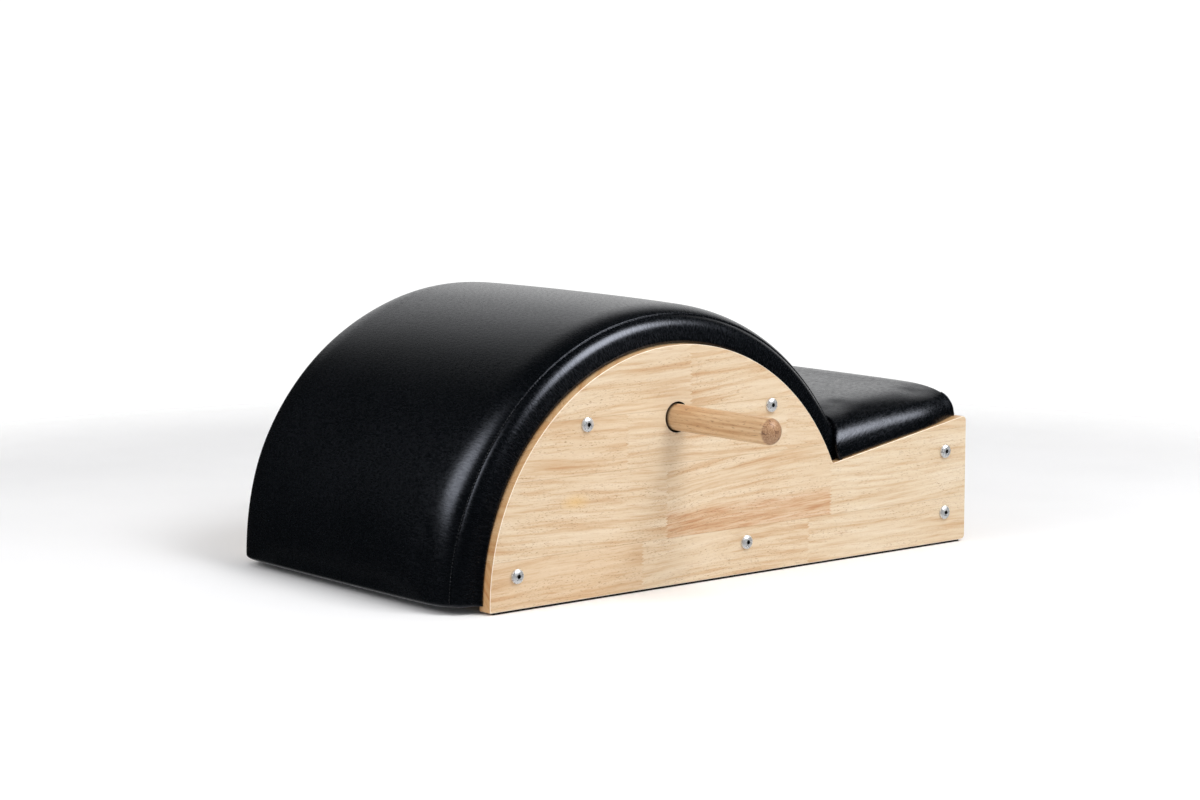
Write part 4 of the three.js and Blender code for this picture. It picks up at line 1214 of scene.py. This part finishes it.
# Rows that the welt runs up, and over how many of them it thins out at the top
WELT_ROWS = 22
WELT_FADE = 4


def stitch_line(name, lip, crease):
    """Short threads one after another, just above the seam."""
    length = [0.0]
    for a, b in zip(lip, lip[1:]):
        length.append(length[-1] + (b - a).length)
    count = int(length[-1] / (STITCH_PITCH * MM))
    points, faces = [], []

    def spot(distance):
        for k in range(len(length) - 1):
            if length[k + 1] >= distance:
                share = (distance - length[k]) / (length[k + 1] - length[k])
                upper = lip[k].lerp(lip[k + 1], share)
                lower = crease[k].lerp(crease[k + 1], share)
                return upper.lerp(lower, STITCH_DOWN), upper - lower
        return lip[-1], lip[-1] - crease[-1]

    for n in range(count):
        middle = (n + 0.5) * STITCH_PITCH * MM
        ends = [spot(middle + side * STITCH_LENGTH * MM / 2) for side in (-1, 1)]
        (start, rise), (finish, _) = ends
        along = (finish - start).normalized()
        rise = (rise - along * rise.dot(along)).normalized()
        out = along.cross(rise)
        if out.y * start.y < 0:
            out = -out
        base = len(points)
        for share, fat, lift in STITCH_SECTION:
            centre = start.lerp(finish, share) + out * lift * STITCH_RADIUS * MM
            for k in range(STITCH_SIDES):
                turn = 2 * math.pi * k / STITCH_SIDES
                edge = (rise * math.cos(turn) + out * math.sin(turn)) * fat * STITCH_RADIUS * MM
                points.append((centre + edge) / MM)
        faces += tube_faces(base, len(STITCH_SECTION), STITCH_SIDES)
    piece = make_piece(name, points, faces, THREAD, 60.0)
    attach(piece, "body")


def corner_welt(name, pad, along, radius):
    """The turned and sewn edge that runs up the corner of a pad, on both of its sides."""
    ring, _ = pad_ring(pad, 0.0, -COVER_THICKNESS, along, 0.0)
    points, faces = [], []
    for side in (1, -1):
        path = [Vector((p.x, side * p.y, p.z)) for p in ring[1:WELT_ROWS]]
        base = len(points)
        for i, centre in enumerate(path):
            along_path = (path[min(i + 1, len(path) - 1)] - path[max(i - 1, 0)]).normalized()
            out = along_path.cross(Vector((SEAT_ALONG.x, 0.0, SEAT_ALONG.y))).normalized()
            other = along_path.cross(out)
            fat = radius * math.sqrt(min(1.0, (len(path) - 1 - i) / WELT_FADE + 0.1))
            for k in range(WELT_SIDES):
                turn = 2 * math.pi * k / WELT_SIDES
                points.append(centre + (out * math.cos(turn) + other * math.sin(turn)) * fat)
        faces += tube_faces(base, len(path), WELT_SIDES)
    piece = make_piece(name, points, faces, VINYL, 60.0)
    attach(piece, "body")


def mirrored(row):
    return [Vector((p.x, -p.y, p.z)) for p in row]


# Bent plywood deck under the barrel pad

DECK_STEPS = 120
DECK_SIDE_GAP = 2.5
DECK_END_GAP = 0.3
DECK_INNER_GAP = 0.6
DECK_OUTER_GAP = 0.3


def bent_deck():
    gap = (COVER_THICKNESS + DECK_END_GAP) / ARCH_DECK_INNER
    half = PAD_HALF - DECK_SIDE_GAP
    inner, outer = ARCH_DECK_INNER + DECK_INNER_GAP, ARCH_RADIUS - DECK_OUTER_GAP
    points = []
    for i in range(DECK_STEPS + 1):
        turn = ARCH_PAD_START + gap + (math.pi - ARCH_PAD_START - 2 * gap) * i / DECK_STEPS
        for radius, y in ((inner, half), (inner, -half), (outer, -half), (outer, half)):
            points.append((ARCH_X + radius * math.cos(turn), y, ARCH_Z + radius * math.sin(turn)))
    piece = make_piece("barrel_deck", points, tube_faces(0, DECK_STEPS + 1, 4), ARCH_PLY, 30.0)
    hand_over(piece, "body", "plywood", "arch_deck")


# The frame's own pieces that keep their shape

def finish_kept_nodes():
    kept = [(PINE, ["rail_front_low", "rail_arch_front", "rail_arch_rear", "rail_middle_low",
                    "end_board", "handle_socket_near", "handle_socket_far"]),
            (RIB_PLY, ["rib_near", "rib_far"]),
            (SEAT_PLY, ["seat_deck"]),
            (RUBBER, ["foot_strip_near", "foot_strip_far"]),
            (ZINC, [f"insert_{spot}_{side}" for spot in BOLTS for side in SIDES])]
    for material, names in kept:
        for name in names:
            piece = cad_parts[name]
            piece.data.materials.clear()
            piece.data.materials.append(material)


for side in SIDES:
    fine_panel(side)
    fine_handle(side)
    for spot in BOLTS:
        fine_bolt(spot, side)

barrel_seam = pad_cover("barrel_pad", BARREL_PAD, "arch_cover")
pad_cover("seat_pad", SEAT_PAD, "seat_cover")
pad_foam("barrel_foam", BARREL_PAD, "arch_foam")
pad_foam("seat_foam_block", SEAT_PAD, "seat_foam")
stitch_line("barrel_stitches_far", *barrel_seam)
stitch_line("barrel_stitches_near", *[mirrored(row) for row in barrel_seam])
corner_welt("seat_welt_front", SEAT_PAD, 3.0, 2.2)
corner_welt("seat_welt_back", SEAT_PAD, SEAT_PAD_LENGTH - 2.5, 1.1)
bent_deck()
finish_kept_nodes()


# Floor and light

FLOOR_REACH = 2.4
FLOOR_FADE = (1.1, 1.9)
WORLD_LIGHT = 0.66
SEEN_WHITE = 1.1
ROOM_GLOSS = 0.012
FLOOR_GLOSS = 0.5
FLOOR_GLOSS_FROM = -0.28
FLOOR_GLOSS_FULL = -0.6
LIT_PLACE = (0.0, 0.0, 0.2)
# What gloss finds in the room: the way to each thing, its strength, and the cosines between which
# it fades in. A strength below 0 is a black screen, which darkens down to the room and no further.
ROOM_WHITES = [
    ((0.62, 0.76, 0.12), 0.95, 0.70, 1.00),
    ((0.34, -0.63, 0.70), 14.0, 0.905, 1.00),
    ((-0.79, 0.24, 0.56), 5.5, 0.92, 1.00),
    ((0.05, 0.99, 0.00), -0.9, 0.88, 0.97),
]


def white_floor():
    """A matt pale floor that fades out into the white backdrop before its edge."""
    material, tree, shader = start_finish("studio_floor", Roughness=0.75, Specular_IOR_Level=0.2)
    place = add(tree, "TexCoord").outputs["Object"]
    speck = add(tree, "TexNoise", {"Vector": place, "Scale": every(333.333), "Detail": 2.0})
    connect(tree, shader, {
        "Base Color": add(tree, "ValToRGB", {"Fac": speck}, [
            (0.3, tint("#f4f4f5")), (0.7, tint("#f8f8f9"))])})
    reach = add(tree, "VectorMath", {0: place}, operation="LENGTH")
    near, far = FLOOR_FADE
    fade = add(tree, "MapRange", {"Value": reach.outputs["Value"], "From Min": near, "From Max": far},
               interpolation_type="SMOOTHSTEP")
    open_air = add(tree, "MixShader", {0: fade, 1: shader, 2: add(tree, "BsdfTransparent")})
    connect(tree, tree.nodes["Material Output"], {"Surface": open_air})
    bm = bmesh.new()
    bmesh.ops.create_circle(bm, cap_ends=True, segments=96, radius=FLOOR_REACH)
    mesh = bpy.data.meshes.new("studio_floor")
    bm.to_mesh(mesh)
    bm.free()
    mesh.materials.append(material)
    floor = bpy.data.objects.new("studio_floor", mesh)
    bpy.context.scene.collection.objects.link(floor)
    floor.visible_glossy = False


def softbox(name, place, wide, high, power):
    light = bpy.data.lights.new(name, "AREA")
    light.shape = "RECTANGLE"
    light.size, light.size_y = wide, high
    light.energy = power
    lamp = bpy.data.objects.new(name, light)
    lamp.location = place
    aim = (Vector(LIT_PLACE) - Vector(place)).to_track_quat("-Z", "Y")
    lamp.rotation_euler = aim.to_euler()
    lamp.visible_glossy = False
    bpy.context.scene.collection.objects.link(lamp)


def studio_air():
    """Even pale light all round, white where the camera sees past the object. Gloss finds a dark
    room with a pale backdrop, two softboxes and a black screen, and a pale floor far below."""
    world = bpy.data.worlds.new("studio_air")
    bpy.context.scene.world = world
    world.use_nodes = True
    tree = world.node_tree
    direction = add(tree, "TexCoord").outputs["Generated"]
    _, _, height = add(tree, "SeparateXYZ", {"Vector": direction}).outputs
    gloss = add(tree, "MapRange", {
        "Value": height, "From Min": FLOOR_GLOSS_FROM, "From Max": FLOOR_GLOSS_FULL,
        "To Min": ROOM_GLOSS, "To Max": FLOOR_GLOSS})
    for towards, strength, edge, full in ROOM_WHITES:
        lean = add(tree, "VectorMath", {0: direction, 1: Vector(towards).normalized()},
                   operation="DOT_PRODUCT").outputs["Value"]
        white = add(tree, "MapRange", {
            "Value": lean, "From Min": edge, "From Max": full, "To Max": strength},
            interpolation_type="SMOOTHSTEP")
        gloss = add(tree, "Math", {0: gloss, 1: white}, operation="ADD")
    gloss = add(tree, "Math", {0: gloss, 1: ROOM_GLOSS}, operation="MAXIMUM")
    rays = add(tree, "LightPath").outputs
    lit = add(tree, "Mix", {"Factor": rays["Is Glossy Ray"], "A": WORLD_LIGHT, "B": gloss})
    seen = add(tree, "Mix", {"Factor": rays["Is Camera Ray"], "A": lit, "B": SEEN_WHITE})
    connect(tree, tree.nodes["Background"], {"Color": (1.0, 1.0, 1.0, 1.0), "Strength": seen})


white_floor()
softbox("window", (0.30, -1.55, 2.10), 1.1, 0.9, 34.0)
softbox("left_box", (-2.13, 0.12, 1.29), 0.9, 0.9, 14.0)
softbox("front_box", (0.48, -2.29, 0.80), 0.9, 0.9, 4.0)
studio_air()

view = bpy.context.scene.view_settings
view.view_transform = "Standard"
view.look = "None"
view.exposure = 0.0
view.gamma = 1.0
